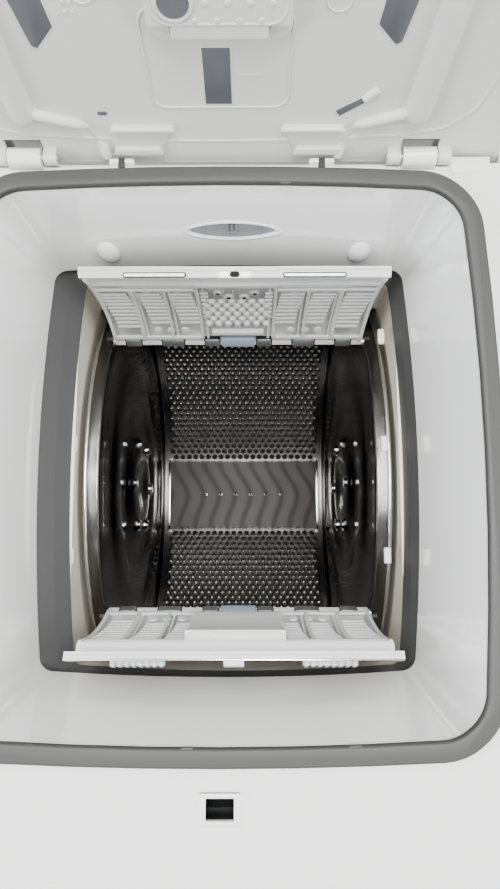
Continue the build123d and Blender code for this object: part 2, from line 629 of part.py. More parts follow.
def build_flap_hinges():
    """Hinge pins of both flaps, the drum's clips round them, their coil springs and the dampers."""
    pins = Part()
    clips = Part()
    springs = Part()
    buffers = Part()
    rim_in = DRUM_HALF - RIM_WIDTH
    for side in (-1, 1):
        y, z = hinge_point(side)
        pins += rod_x(DRUM_X - rim_in - 6, DRUM_X + rim_in + 6, y, z, PIN_RADIUS)
        for place in CLIP_PLACES:
            x0 = DRUM_X + place - CLIP_WIDTH / 2
            x1 = DRUM_X + place + CLIP_WIDTH / 2
            low, high = sorted((90 - side * HINGE_ANGLE, 90 - side * (HINGE_ANGLE + 3.4)))
            clip = rod_x(x0, x1, y, z, KNUCKLE_RADIUS)
            clip += sector(x0, x1, HINGE_RADIUS - 1, DRUM_RADIUS - DRUM_SHEET, low, high)
            clip -= rod_x(x0 - 1, x1 + 1, y, z, PIN_RADIUS)
            if place == 0.0:
                buffers += clip
            else:
                clips += clip
        for end in (-1, 1):
            x0, x1 = sorted((DRUM_X + end * (FLAP_HALF - 4), DRUM_X + end * (rim_in - TOUCH_GAP)))
            springs += rod_x(x0, x1, y, z, 3.0) - rod_x(x0 - 1, x1 + 1, y, z, PIN_RADIUS)
    add("flap_hinge_pins", pins)
    add("flap_clips_and_springs", clips + springs)
    add("flap_dampers", buffers)


def flap_body(side):
    """The moulded frame and the steel skin of one shut flap."""
    outer = DRUM_RADIUS - 0.6
    skin = outer - FLAP_SKIN
    inner = outer - FLAP_THICK
    middle = (outer + inner) / 2
    near = HINGE_ANGLE - FLAP_NEAR_ANGLE
    half = FLAP_HALF
    frame = flap_sector(side, -half, half, inner, skin, FLAP_STEP_ANGLE, near)
    frame -= flap_sector(side, -half + 3, half - 3, inner - 1, skin - 3, FLAP_STEP_ANGLE + 1, near - 1)
    for place in (-90.0, -60.0, -30.0, 30.0, 60.0, 90.0):
        frame += flap_sector(side, place - 1, place + 1, inner, skin - 2, FLAP_STEP_ANGLE + 0.5, near - 0.5)
    if side > 0:
        lap_end = FLAP_STEP_ANGLE + 0.4
        lap = flap_sector(side, -half, half, inner, middle - TOUCH_GAP, -FLAP_LAP_ANGLE, lap_end)
        for low in (-SLOT_OUTER, SLOT_INNER):
            high = low + SLOT_OUTER - SLOT_INNER
            lap -= flap_sector(side, low, high, inner - 1, middle + 1, -1.2, 0.2)
        lap -= flap_sector(side, -13.6, 13.6, inner - 1, middle + 1, -1.6, 0.8)
        plate = flap_sector(side, -half, half, skin, outer, FLAP_STEP_ANGLE, near)
    else:
        lap_end = FLAP_STEP_ANGLE + 0.4
        lap = flap_sector(side, -half, half, middle + TOUCH_GAP, skin, -FLAP_LAP_ANGLE, lap_end)
        plate = flap_sector(side, -half, half, skin, outer, -FLAP_LAP_ANGLE, near)
    frame += lap
    y, z = hinge_point(side)
    for place in KNUCKLE_PLACES:
        x0 = DRUM_X + place - KNUCKLE_WIDTH / 2
        x1 = DRUM_X + place + KNUCKLE_WIDTH / 2
        knuckle = rod_x(x0, x1, y, z, KNUCKLE_RADIUS)
        web = flap_sector(
            side,
            place - KNUCKLE_WIDTH / 2,
            place + KNUCKLE_WIDTH / 2,
            HINGE_RADIUS - 2,
            skin,
            near - 0.3,
            HINGE_ANGLE,
        )
        frame += knuckle + web
        frame -= rod_x(x0 - 0.5, x1 + 0.5, y, z, PIN_RADIUS + PIN_PLAY)
    return frame, plate


def build_flaps():
    """Both drum flaps, and the front one's latch housing and push button, shown open."""
    frame, plate = flap_body(1)
    add("rear_flap_frame", rest_flap(frame, 1))
    add("rear_flap_skin", rest_flap(plate, 1))

    frame, plate = flap_body(-1)
    outer = DRUM_RADIUS - 0.6
    skin = outer - FLAP_SKIN
    inner = outer - FLAP_THICK
    housing = flap_sector(-1, -40, 40, inner - 10, skin - 3, 5.0, 27.0)
    housing -= flap_sector(-1, -37, 37, inner - 8, skin - 5, 5.8, 26.2)
    frame += housing
    well_half = BUTTON_HALF + TOUCH_GAP
    well = flap_sector(-1, -well_half, well_half, inner - 6, outer + 1, 10.0, 17.0)
    frame -= well
    plate -= well
    button = flap_sector(-1, -BUTTON_HALF, BUTTON_HALF, inner + 2, outer, 10.08, 16.92)
    button += flap_sector(-1, -25, 25, inner - 2, skin - 5 - TOUCH_GAP, 8.5, 18.5)
    frame -= flap_sector(-1, -25.5, 25.5, inner - 7.5, skin - 5, 8.2, 18.8)
    add("front_flap_frame", rest_flap(frame, -1))
    add("front_flap_skin", rest_flap(plate, -1))
    add("flap_latch_button", rest_flap(button, -1))


# ---------------------------------------------------------------- drive
PULLEY_X = DRUM_X - TUB_END - BOSS_LENGTH - 2  # the pulley's inner face
MOTOR_X = (-130.0, 40.0)
MOTOR_SHAFT_RADIUS = 8.0


def belt_face(large, small):
    """The outline of a belt round the drum pulley and the motor pulley."""
    along = math.atan2(MOTOR_Z - DRUM_Z, MOTOR_Y - DRUM_Y)
    distance = math.hypot(MOTOR_Z - DRUM_Z, MOTOR_Y - DRUM_Y)
    lean = math.acos((large - small) / distance)
    corners = []
    for sign in (1, -1):
        turn = math.degrees(along + sign * lean)
        pair = [polar(large, turn), polar(small, turn, MOTOR_Y, MOTOR_Z)]
        corners += pair if sign > 0 else pair[::-1]
    web = make_face(Polyline(*corners, close=True))
    return web + Pos(DRUM_Y, DRUM_Z) * Circle(large) + Pos(MOTOR_Y, MOTOR_Z) * Circle(small)


def build_drive():
    """Drum pulley, belt, motor with its shaft and small pulley, and the motor's brackets."""
    x0 = PULLEY_X - PULLEY_WIDTH
    pulley = ring_x(x0, PULLEY_X, DRUM_Y, DRUM_Z, PULLEY_RADIUS, PULLEY_RADIUS - 7)
    pulley += rod_x(x0 + 6, x0 + 9, DRUM_Y, DRUM_Z, PULLEY_RADIUS - 6)
    pulley += rod_x(x0, PULLEY_X, DRUM_Y, DRUM_Z, SHAFT_RADIUS + 11)
    for index in range(6):
        y, z = polar(80, 60 * index + 15)
        pulley -= rod_x(x0 - 1, PULLEY_X + 1, y, z, 26)
    pulley -= rod_x(x0 - 1, PULLEY_X + 1, DRUM_Y, DRUM_Z, SHAFT_RADIUS)
    add("drum_pulley", pulley)

    plane = Plane.YZ.offset(x0 + 1)
    gap = TOUCH_GAP
    outer = belt_face(PULLEY_RADIUS + gap + BELT_THICK, MOTOR_PULLEY_RADIUS + gap + BELT_THICK)
    inner = belt_face(PULLEY_RADIUS + gap, MOTOR_PULLEY_RADIUS + gap)
    add("belt", extrude(plane * (outer - inner), amount=PULLEY_WIDTH - 2))

    rotor = rod_x(x0 - 2, MOTOR_X[0] + 30, MOTOR_Y, MOTOR_Z, MOTOR_SHAFT_RADIUS)
    rotor += rod_x(x0, PULLEY_X, MOTOR_Y, MOTOR_Z, MOTOR_PULLEY_RADIUS)
    add("motor_rotor", rotor)

    motor = rod_x(*MOTOR_X, MOTOR_Y, MOTOR_Z, MOTOR_RADIUS)
    motor = chamfer(motor.edges().filter_by(GeomType.CIRCLE), 5)
    motor += rod_x(MOTOR_X[0] - 8, MOTOR_X[0], MOTOR_Y, MOTOR_Z, 18)
    motor -= rod_x(MOTOR_X[0] - 10, MOTOR_X[0] + 31, MOTOR_Y, MOTOR_Z, MOTOR_SHAFT_RADIUS + PIN_PLAY)
    for index in range(8):
        y, z = polar(46, 45 * index + 22, MOTOR_Y, MOTOR_Z)
        motor -= rod_x(MOTOR_X[1] - 20, MOTOR_X[1] + 1, y, z, 5)

    brackets = Part()
    for x in (MOTOR_X[0] + 24, MOTOR_X[1] - 20):
        outline = [
            (DRUM_Y - 5, DRUM_Z - 236),
            (MOTOR_Y + 50, DRUM_Z - 205),
            (MOTOR_Y + MOTOR_RADIUS + 4, MOTOR_Z + 6),
            (MOTOR_Y, MOTOR_Z),
            (MOTOR_Y - MOTOR_RADIUS - 4, MOTOR_Z + 10),
        ]
        plate = side_profile(outline, x, x + 6)
        plate -= rod_x(x - 1, x + 7, DRUM_Y, DRUM_Z, TUB_RADIUS + TUB_WALL)
        brackets += plate - rod_x(x - 1, x + 7, MOTOR_Y, MOTOR_Z, MOTOR_RADIUS)
    add("motor_and_brackets", motor + brackets)


# ---------------------------------------------------------------- water
PUMP_Y = -190.0  # where the filter housing meets the pump's volute
DRAIN_Z = 120.0
VALVE_Y = 284.0
NOZZLE_X = 5.0
NOZZLE_Z = 801.5


def build_pump():
    """Drain pump: filter housing, volute and motor in one housing, its impeller and its filter cap."""
    front = -HALF_DEPTH + 10
    tray = FOOT_HEIGHT + TRAY_FLOOR
    shell = rod_y(front, PUMP_Y, FILTER_X, FILTER_Z, FILTER_RADIUS + 6)
    shell += rod_y(PUMP_Y, PUMP_Y + 30, FILTER_X, FILTER_Z, 34)
    shell += rod_y(PUMP_Y + 30, PUMP_Y + 75, FILTER_X, FILTER_Z, 24)
    shell += block(FILTER_X - 20, FILTER_X + 20, front + 8, PUMP_Y + 30, tray, FILTER_Z - 20)
    shell += rod_z(FILTER_Z, FILTER_Z + 50, FILTER_X, PUMP_Y - 25, HOSE_RADIUS)
    shell += rod_x(FILTER_X - 46, FILTER_X, PUMP_Y + 17, FILTER_Z, DRAIN_RADIUS)
    shell -= rod_y(front - 1, PUMP_Y - 2, FILTER_X, FILTER_Z, FILTER_RADIUS + 1)
    shell -= rod_y(PUMP_Y - 3, PUMP_Y + 4, FILTER_X, FILTER_Z, 12)
    shell -= rod_y(PUMP_Y + 3, PUMP_Y + 27, FILTER_X, FILTER_Z, 30)
    shell -= rod_y(PUMP_Y + 26, PUMP_Y + 50, FILTER_X, FILTER_Z, 3 + PIN_PLAY)
    shell -= rod_z(FILTER_Z, FILTER_Z + 51, FILTER_X, PUMP_Y - 25, HOSE_RADIUS - 4)
    shell -= rod_x(FILTER_X - 47, FILTER_X, PUMP_Y + 17, FILTER_Z, DRAIN_RADIUS - 3)
    add("drain_pump", shell)

    impeller = rod_y(PUMP_Y + 8, PUMP_Y + 49, FILTER_X, FILTER_Z, 3)
    impeller += rod_y(PUMP_Y + 6, PUMP_Y + 25, FILTER_X, FILTER_Z, 8)
    for index in range(4):
        blade = block(0, 27, PUMP_Y + 6, PUMP_Y + 25, -1.2, 1.2).rotate(Axis.Y, 90 * index + 20)
        impeller += Pos(FILTER_X, 0, FILTER_Z) * blade
    add("pump_impeller", impeller)

    cap = rod_y(front, front + 44, FILTER_X, FILTER_Z, FILTER_RADIUS + 1 - TOUCH_GAP)
    cap -= rod_y(front + 8, front + 45, FILTER_X, FILTER_Z, FILTER_RADIUS - 2)
    cap += rod_y(front - 2.5, front - TOUCH_GAP, FILTER_X, FILTER_Z, FILTER_RADIUS + 4)
    cap += rod_y(front - TOUCH_GAP, front, FILTER_X, FILTER_Z, FILTER_RADIUS - 2)
    cap += block(FILTER_X - 3.5, FILTER_X + 3.5, front - 6, front - 2.5, FILTER_Z - 21, FILTER_Z + 21)
    add("filter_cap", cap)


def hose(points, radius, wall, bend):
    """A hose along straight runs joined by arcs."""
    path = FilletPolyline(*points, radius=bend)
    plane = Plane(origin=path @ 0, z_dir=path % 0)
    return sweep(plane * (Circle(radius + wall) - Circle(radius)), path=path)


def build_water():
    """Inlet valve with its threaded spigot, the hoses inside the cabinet and the drain spigot."""
    y = VALVE_Y
    valve = block(INLET_X - 16, INLET_X + 16, y - 34, y, INLET_Z - 15, INLET_Z + 15)
    valve = chamfer(valve.edges().filter_by(Axis.Y), 4)
    valve += rod_z(INLET_Z + 15, INLET_Z + 45, INLET_X, y - 17, 14)
    valve += block(INLET_X - 33, INLET_X + 33, y, y + 3, INLET_Z - 15, INLET_Z + 15)
    for x in (INLET_X - 29, INLET_X + 29):
        valve += rod_y(y + 3, HALF_DEPTH - PANEL, x, INLET_Z, 4)
    valve += rod_y(y, HALF_DEPTH - 0.2, INLET_X, INLET_Z, INLET_RADIUS)
    valve += rod_y(y - 48, y - 34, INLET_X, INLET_Z, 8)
    valve -= rod_y(y - 49, HALF_DEPTH + 1, INLET_X, INLET_Z, 5)
    add("inlet_valve", valve)

    sump = DRUM_Z - TUB_RADIUS - TUB_WALL
    pump_in = PUMP_Y - 25
    drain_y = PUMP_Y + 17
    hoses = hose(
        [
            (SUMP_X, DRUM_Y, sump - 3),
            (SUMP_X, DRUM_Y, 148),
            (FILTER_X, pump_in, 156),
            (FILTER_X, pump_in, 102),
        ],
        HOSE_RADIUS,
        3,
        22,
    )
    hoses += hose(
        [
            (FILTER_X - 36, drain_y, FILTER_Z),
            (FILTER_X - 76, drain_y, FILTER_Z),
            (-60, drain_y + 8, 42),
            (-146, drain_y + 20, 42),
            (-150, -10, 42),
            (-150, 160, 48),
            (DRAIN_X, 205, DRAIN_Z),
            (DRAIN_X, 262, DRAIN_Z),
        ],
        DRAIN_RADIUS,
        3,
        22,
    )
    hoses += hose(
        [
            (INLET_X, VALVE_Y - 35, INLET_Z),
            (INLET_X, VALVE_Y - 72, INLET_Z),
            (NOZZLE_X, WELL_REAR + 68, NOZZLE_Z),
            (NOZZLE_X, WELL_REAR + 26, NOZZLE_Z),
        ],
        8,
        2.5,
        14,
    )
    spigot = rod_y(248, HALF_DEPTH - 0.2, DRAIN_X, DRAIN_Z, DRAIN_RADIUS)
    spigot += rod_y(HALF_DEPTH - PANEL - 4, HALF_DEPTH - PANEL, DRAIN_X, DRAIN_Z, DRAIN_RADIUS + 14)
    spigot -= rod_y(247, HALF_DEPTH + 1, DRAIN_X, DRAIN_Z, DRAIN_RADIUS - 3)
    add("internal_hoses", hoses)
    add("drain_spigot", spigot)


# ---------------------------------------------------------------- console
KEY_FLANGE = 2.0
BOARD_Z = 880.0
FASCIA = 1.0


def build_console():
    """Console housing, fascia, display, control board, programme knob and three keys."""
    wall = PLASTIC
    front = CONSOLE_FRONT
    back = HALF_DEPTH
    top = CONSOLE_Z
    outer = [
        (front, PLATE_Z),
        (back, PLATE_Z),
        (back, top - 4),
        (back - 4, top),
        (front + 16, top),
        (front + 9, top - 5),
    ]
    inner = [
        (front + 2.7, PLATE_Z - 1),
        (back - wall, PLATE_Z - 1),
        (back - wall, top - wall - 2.5),
        (back - wall - 2.5, top - wall),
        (front + 17, top - wall),
        (front + 11.5, top - wall - 4),
    ]
    side = HALF_WIDTH - 2
    shell = side_profile(outer, -side, side) - side_profile(inner, -side + wall, side - wall)
    for x in (-150, 150):
        for y in (front + 30, back - 12):
            shell += rod_z(BOARD_Z + 1.6, top - wall, x * 0.95, y, 3.5)
    shell -= rod_z(top - 10, top + 1, KNOB_X, KNOB_Y, 3 + PIN_PLAY)
    gap = TOUCH_GAP
    keys = {}
    fascia = block(-side + 8, side - 8, front + 20, back - 8, top, top + FASCIA)
    for index, x in enumerate(KEY_PLACES[:3]):
        x0 = x - KEY_WIDTH / 2
        x1 = x + KEY_WIDTH / 2
        y0 = KNOB_Y - KEY_DEPTH / 2
        y1 = KNOB_Y + KEY_DEPTH / 2
        hole = block(x0 - gap, x1 + gap, y0 - gap, y1 + gap, top - 5, top + 5)
        shell -= hole
        fascia -= hole
        key = block(x0, x1, y0, y1, top - wall - gap - KEY_FLANGE, top + FASCIA + 2.5)
        key = chamfer(key.edges().group_by(Axis.Z)[-1], 0.8)
        low = top - wall - gap - KEY_FLANGE
        key += block(x0 - 2, x1 + 2, y0 - 2, y1 + 2, low, low + KEY_FLANGE)
        key += block(x - 3, x + 3, KNOB_Y - 3, KNOB_Y + 3, BOARD_Z + 1.6 + KEY_TRAVEL + gap, low)
        keys[index] = key
    fascia -= rod_z(top - 1, top + 3, KNOB_X, KNOB_Y, 3 + PIN_PLAY)
    window = block(DISPLAY_X - 30, DISPLAY_X + 30, KNOB_Y - 13, KNOB_Y + 13, top, top + FASCIA + 0.4)
    fascia -= window
    add("console_housing", shell)
    add("control_fascia", fascia)
    add("display_window", window)
    for index, name in enumerate(("start_key", "spin_speed_key", "temperature_key")):
        add(name, keys[index])

    board = block(-160, 160, front + 24, back - 8, BOARD_Z, BOARD_Z + 1.6)
    encoder = block(KNOB_X - 9, KNOB_X + 9, KNOB_Y - 9, KNOB_Y + 9, BOARD_Z + 1.6, top - wall)
    board += encoder - rod_z(BOARD_Z + 4, top, KNOB_X, KNOB_Y, 3 + PIN_PLAY)
    add("control_board", board)

    low = top + FASCIA + gap
    knob = rod_z(low, low + KNOB_HEIGHT, KNOB_X, KNOB_Y, KNOB_RADIUS)
    knob = fillet(knob.edges().group_by(Axis.Z)[-1], 2)
    knob -= block(KNOB_X - 1, KNOB_X + 1, KNOB_Y + 8, KNOB_Y + KNOB_RADIUS, low + KNOB_HEIGHT - 1, low + 40)
    knob += rod_z(BOARD_Z + 4.5, low, KNOB_X, KNOB_Y, 3)
    add("programme_knob", knob)


# ---------------------------------------------------------------- lid
LID_WALL = 2.5
LID_REAR_Z = 884.0
LID_SLOPE_Y = 100.0
LID_PANEL = 2.0
DISPENSER_X = (-37.0, 43.0)
DISPENSER_Y = (-34.0, 83.0)
DISPENSER_Z = 864.5
DISPENSER_TOP = 893.0
COVER_THICK = 3.0
HOOK_LOW_Z = 846.0


def build_lid():
    """The lid: outer shell, inner panel, dispenser with its cover, hook and hinge pins; shown open."""
    wall = LID_WALL
    rear = LID_REAR
    front = LID_FRONT
    low = LID_UNDER_Z
    top = LID_TOP_Z
    half = LID_HALF
    outline = [
        (front, low), (rear, low), (rear, LID_REAR_Z), (LID_SLOPE_Y, top), (front + 10, top), (front, top - 8)
    ]
    hollow = [
        (front + wall, low - 1),
        (rear - wall, low - 1),
        (rear - wall, LID_REAR_Z - wall),
        (LID_SLOPE_Y, top - wall),
        (front + 11, top - wall),
        (front + wall, top - 9),
    ]
    shell = side_profile(outline, -half, half)
    corners = shell.edges().filter_by(Axis.Z).group_by(Axis.Y)[0]
    shell = fillet(corners, 16)
    cavity = side_profile(hollow, -half + wall, half - wall)
    cavity = fillet(cavity.edges().filter_by(Axis.Z).group_by(Axis.Y)[0], 14)
    shell -= cavity
    panel = block(-half + wall, half - wall, front + wall, rear - wall, low, low + LID_PANEL)
    panel = fillet(panel.edges().filter_by(Axis.Z).group_by(Axis.Y)[0], 14)
    reach = EAR_RADIUS + 5
    for side in (-1, 1):
        x0, x1 = sorted((side * (EAR_INNER - 1.5), side * (EAR_OUTER + 1.5)))
        notch = block(x0, x1, HINGE_Y - reach, rear + 1, low - 1, low + 16)
        shell -= notch
        panel -= notch
        for place in (EAR_INNER - 6, EAR_OUTER + 6):
            x0 = side * place - 4.5
            knuckle = rod_x(x0, x0 + 9, HINGE_Y, HINGE_Z, KNUCKLE_SWEEP - 1)
            knuckle += block(x0, x0 + 9, HINGE_Y - 5, HINGE_Y + 5, HINGE_Z, low + 0.5)
            panel += knuckle - rod_x(x0 - 1, x0 + 10, HINGE_Y, HINGE_Z, LID_PIN_RADIUS + PIN_PLAY)
    dx0, dx1 = DISPENSER_X
    dy0, dy1 = DISPENSER_Y
    panel -= block(dx0, dx1, dy0, dy1, low - 1, low + 5)
    add("lid_outer_shell", rest_lid(shell))
    add("lid_inner_panel", rest_lid(panel))

    body = block(dx0, dx1, dy0, dy1, DISPENSER_Z, DISPENSER_TOP)
    body = fillet(body.edges().filter_by(Axis.Z), 8)
    cover_z = DISPENSER_Z - TOUCH_GAP
    body -= block(dx0 + 2, dx1 - 2, dy0 + 2, (dy0 + dy1) / 2 - 1, DISPENSER_Z - 1, DISPENSER_TOP - 2)
    body -= block(dx0 + 2, dx1 - 2, (dy0 + dy1) / 2 + 1, dy1 - 10, DISPENSER_Z - 1, DISPENSER_TOP - 2)
    pin = (dy1 - 4.5, DISPENSER_Z + 4)
    body -= block(dx0 + 12, dx1 - 12, dy1 - 9, dy1 + 1, DISPENSER_Z - 1, DISPENSER_Z + 9)
    body -= rod_x(dx0 + 8, dx1 - 8, *pin, 1.5 + PIN_PLAY)
    add("detergent_dispenser", rest_lid(body))
    cover = block(dx0 + 0.5, dx1 - 0.5, dy0 + 0.5, dy1 - 10, cover_z - COVER_THICK, cover_z)
    cover = fillet(cover.edges().filter_by(Axis.Z).group_by(Axis.Y)[0], 8)
    tongue = block(dx0 + 13, dx1 - 13, dy1 - 11, pin[0], cover_z - COVER_THICK, cover_z)
    tongue += block(dx0 + 13, dx1 - 13, pin[0] - 2.5, pin[0] + 2.5, cover_z - COVER_THICK, pin[1])
    tongue += rod_x(dx0 + 13, dx1 - 13, *pin, 2.5)
    cover += tongue + rod_x(dx0 + 8.5, dx1 - 8.5, *pin, 1.5)
    add("dispenser_cover", rest_lid(cover))

    hook = block(-5, 5, LATCH_Y - 4, LATCH_Y + 3, HOOK_LOW_Z, low)
    hook += block(-5, 5, LATCH_Y - 6, LATCH_Y - 4, HOOK_LOW_Z, HOOK_LOW_Z + 4)
    add("lid_hook", rest_lid(hook))

    pins = Part()
    for side in (-1, 1):
        x0, x1 = sorted((side * (EAR_INNER - 11), side * (EAR_OUTER + 11)))
        pins += rod_x(x0, x1, HINGE_Y, HINGE_Z, LID_PIN_RADIUS)
    add("lid_hinge_pins", pins)


def build_lock():
    """The lid lock under the top plate with its bezel in the plate's slot, and its sliding bolt."""
    top = PLATE_Z - PLATE_THICK
    gap = TOUCH_GAP
    slot_x, slot_y = (LATCH_BEZEL[0] / 2 - 2, LATCH_BEZEL[1] / 2 - 2)
    lock = block(-24, 44, LATCH_Y - 22, LATCH_Y + 22, top - 42, top)
    lock += block(-slot_x, slot_x, LATCH_Y - slot_y, LATCH_Y + slot_y, top, PLATE_Z)
    half_x, half_y = (LATCH_BEZEL[0] / 2, LATCH_BEZEL[1] / 2)
    lock += block(-half_x, half_x, LATCH_Y - half_y, LATCH_Y + half_y, PLATE_Z, PLATE_Z + 1.2)
    width, depth = LATCH_SLOT
    lock -= block(-width / 2, width / 2, LATCH_Y - depth / 2, LATCH_Y + depth / 2, top - 34, PLATE_Z + 2)
    bolt_y = (LATCH_Y - 11, LATCH_Y - 4 - gap)
    bolt_z = (HOOK_LOW_Z + 4 + gap, HOOK_LOW_Z + 9)
    lock -= block(width / 2 - 1, 40, bolt_y[0] - gap, bolt_y[1] + gap, bolt_z[0] - gap, bolt_z[1] + gap)
    lock -= block(-width / 2, width / 2, LATCH_Y - 12, LATCH_Y, HOOK_LOW_Z - 3, bolt_z[1] + 1)
    add("lid_lock", lock)
    add("lock_bolt", block(width / 2 + 0.5, width / 2 + 22, *bolt_y, *bolt_z))


# ---------------------------------------------------------------- output
def main():
    """Build every piece and write it to its own file."""
    build_base()
    build_panels()
    build_top()
    build_bellows()
    build_tub()
    build_bearings()
    build_counterweights()
    build_suspension()
    build_heater()
    build_drum()
    build_flap_hinges()
    build_flaps()
    build_drive()
    build_pump()
    build_water()
    build_console()
    build_lid()
    build_lock()
    os.makedirs("parts", exist_ok=True)
    for name, shape in nodes.items():
        export_step(shape, f"parts/{name}.step")
    print(len(nodes), "pieces written")


main()
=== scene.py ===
"""Looks of a slim top-loading washing machine, built round its packed construction.

Metres. X to the right, Y to the back, Z up; the origin is the middle of the footprint on the floor.
Every class builds one sub-assembly and dresses it: the construction's own pieces get a finish, and
modelled pieces add the relief, perforation and trim of the real surfaces.
"""

import logging
import math
from dataclasses import dataclass, field
from enum import Enum

import bpy
from mathutils import Matrix, Vector


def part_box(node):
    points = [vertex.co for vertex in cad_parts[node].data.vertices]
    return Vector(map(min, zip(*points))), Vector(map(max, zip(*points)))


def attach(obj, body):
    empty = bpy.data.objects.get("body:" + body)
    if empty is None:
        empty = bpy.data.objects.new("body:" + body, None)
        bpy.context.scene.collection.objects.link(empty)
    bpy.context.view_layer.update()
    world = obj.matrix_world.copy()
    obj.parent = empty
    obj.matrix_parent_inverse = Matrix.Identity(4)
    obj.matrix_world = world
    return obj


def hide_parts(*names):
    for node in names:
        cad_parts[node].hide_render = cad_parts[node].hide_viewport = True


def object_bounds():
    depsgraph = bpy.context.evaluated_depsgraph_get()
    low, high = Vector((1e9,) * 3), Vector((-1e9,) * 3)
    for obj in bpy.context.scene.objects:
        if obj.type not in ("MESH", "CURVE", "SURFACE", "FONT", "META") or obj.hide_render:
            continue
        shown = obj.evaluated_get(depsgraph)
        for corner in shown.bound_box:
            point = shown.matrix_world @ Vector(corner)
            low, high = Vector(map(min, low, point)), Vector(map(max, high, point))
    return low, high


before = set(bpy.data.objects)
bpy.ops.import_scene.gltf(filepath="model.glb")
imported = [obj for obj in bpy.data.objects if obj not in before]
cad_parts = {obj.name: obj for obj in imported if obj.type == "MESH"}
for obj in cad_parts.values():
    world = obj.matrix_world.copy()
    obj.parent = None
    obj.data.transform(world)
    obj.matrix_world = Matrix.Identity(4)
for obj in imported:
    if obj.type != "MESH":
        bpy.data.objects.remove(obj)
CAD_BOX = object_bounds()
logging.basicConfig(level=logging.INFO, format="%(message)s")
log = logging.getLogger("washing_machine")

MM = 0.001
DRUM_X = 0.007
DRUM_Y = -0.025
DRUM_Z = 0.456
DRUM_AXIS = Vector((DRUM_X, DRUM_Y, DRUM_Z))
LID_PIN = Vector((0.0, 0.178, 0.866))
LID_OPEN = math.radians(99.0)
PIN_RADIUS = 0.2305
PIN_DEGREES = 36.6
PLATE_Z = 0.862
MERGE = 0.00001
WAVES_PER_METRE = 62.0
WAVE_WIDTH = 0.009
WAVE_SLANT = 0.12
ALONG_X = Vector((1, 0, 0))
ALONG_Y = Vector((0, 1, 0))
ALONG_Z = Vector((0, 0, 1))
Pair = tuple[float, float]
Point = tuple[float, float, float]


# ------------------------------------------------------------------ shader maths
class Wire:
    """A shader socket on which maths can be written as Python expressions."""

    def __init__(self, recipe: "Recipe", socket: bpy.types.NodeSocket) -> None:
        """Wrap a socket.

        Args:
            recipe: The material being mixed.
            socket: The output socket that carries the value.
        """
        self.recipe = recipe
        self.socket = socket

    def _maths(self, operation: str, first: "Wire | float", second: "Wire | float") -> "Wire":
        """Join two values with one Math node.

        Args:
            operation: The Math node's operation.
            first: The left value.
            second: The right value.

        Returns:
            The node's result.
        """
        return self.recipe.node("ShaderNodeMath", {"operation": operation}, {0: first, 1: second})

    def __add__(self, other: "Wire | float") -> "Wire":
        """Sum.

        Args:
            other: The value on the right.

        Returns:
            The sum.
        """
        return self._maths("ADD", self, other)

    def __radd__(self, other: float) -> "Wire":
        """Sum with a number on the left.

        Args:
            other: The number.

        Returns:
            The sum.
        """
        return self._maths("ADD", other, self)

    def __sub__(self, other: "Wire | float") -> "Wire":
        """Difference.

        Args:
            other: The value taken away.

        Returns:
            The difference.
        """
        return self._maths("SUBTRACT", self, other)

    def __rsub__(self, other: float) -> "Wire":
        """Difference from a number on the left.

        Args:
            other: The number.

        Returns:
            The difference.
        """
        return self._maths("SUBTRACT", other, self)

    def __mul__(self, other: "Wire | float") -> "Wire":
        """Product.

        Args:
            other: The value on the right.

        Returns:
            The product.
        """
        return self._maths("MULTIPLY", self, other)

    def __rmul__(self, other: float) -> "Wire":
        """Product with a number on the left.

        Args:
            other: The number.

        Returns:
            The product.
        """
        return self._maths("MULTIPLY", other, self)

    def __pow__(self, other: float) -> "Wire":
        """Power.

        Args:
            other: The exponent.

        Returns:
            This value raised to it.
        """
        return self._maths("POWER", self, other)

    def __gt__(self, other: "Wire | float") -> "Wire":
        """One where this value is the larger, zero elsewhere.

        Args:
            other: The value compared with.

        Returns:
            One or zero.
        """
        return self._maths("GREATER_THAN", self, other)

    def wave(self) -> "Wire":
        """Sine of this value.

        Returns:
            The sine.
        """
        return self._maths("SINE", self, 0.0)


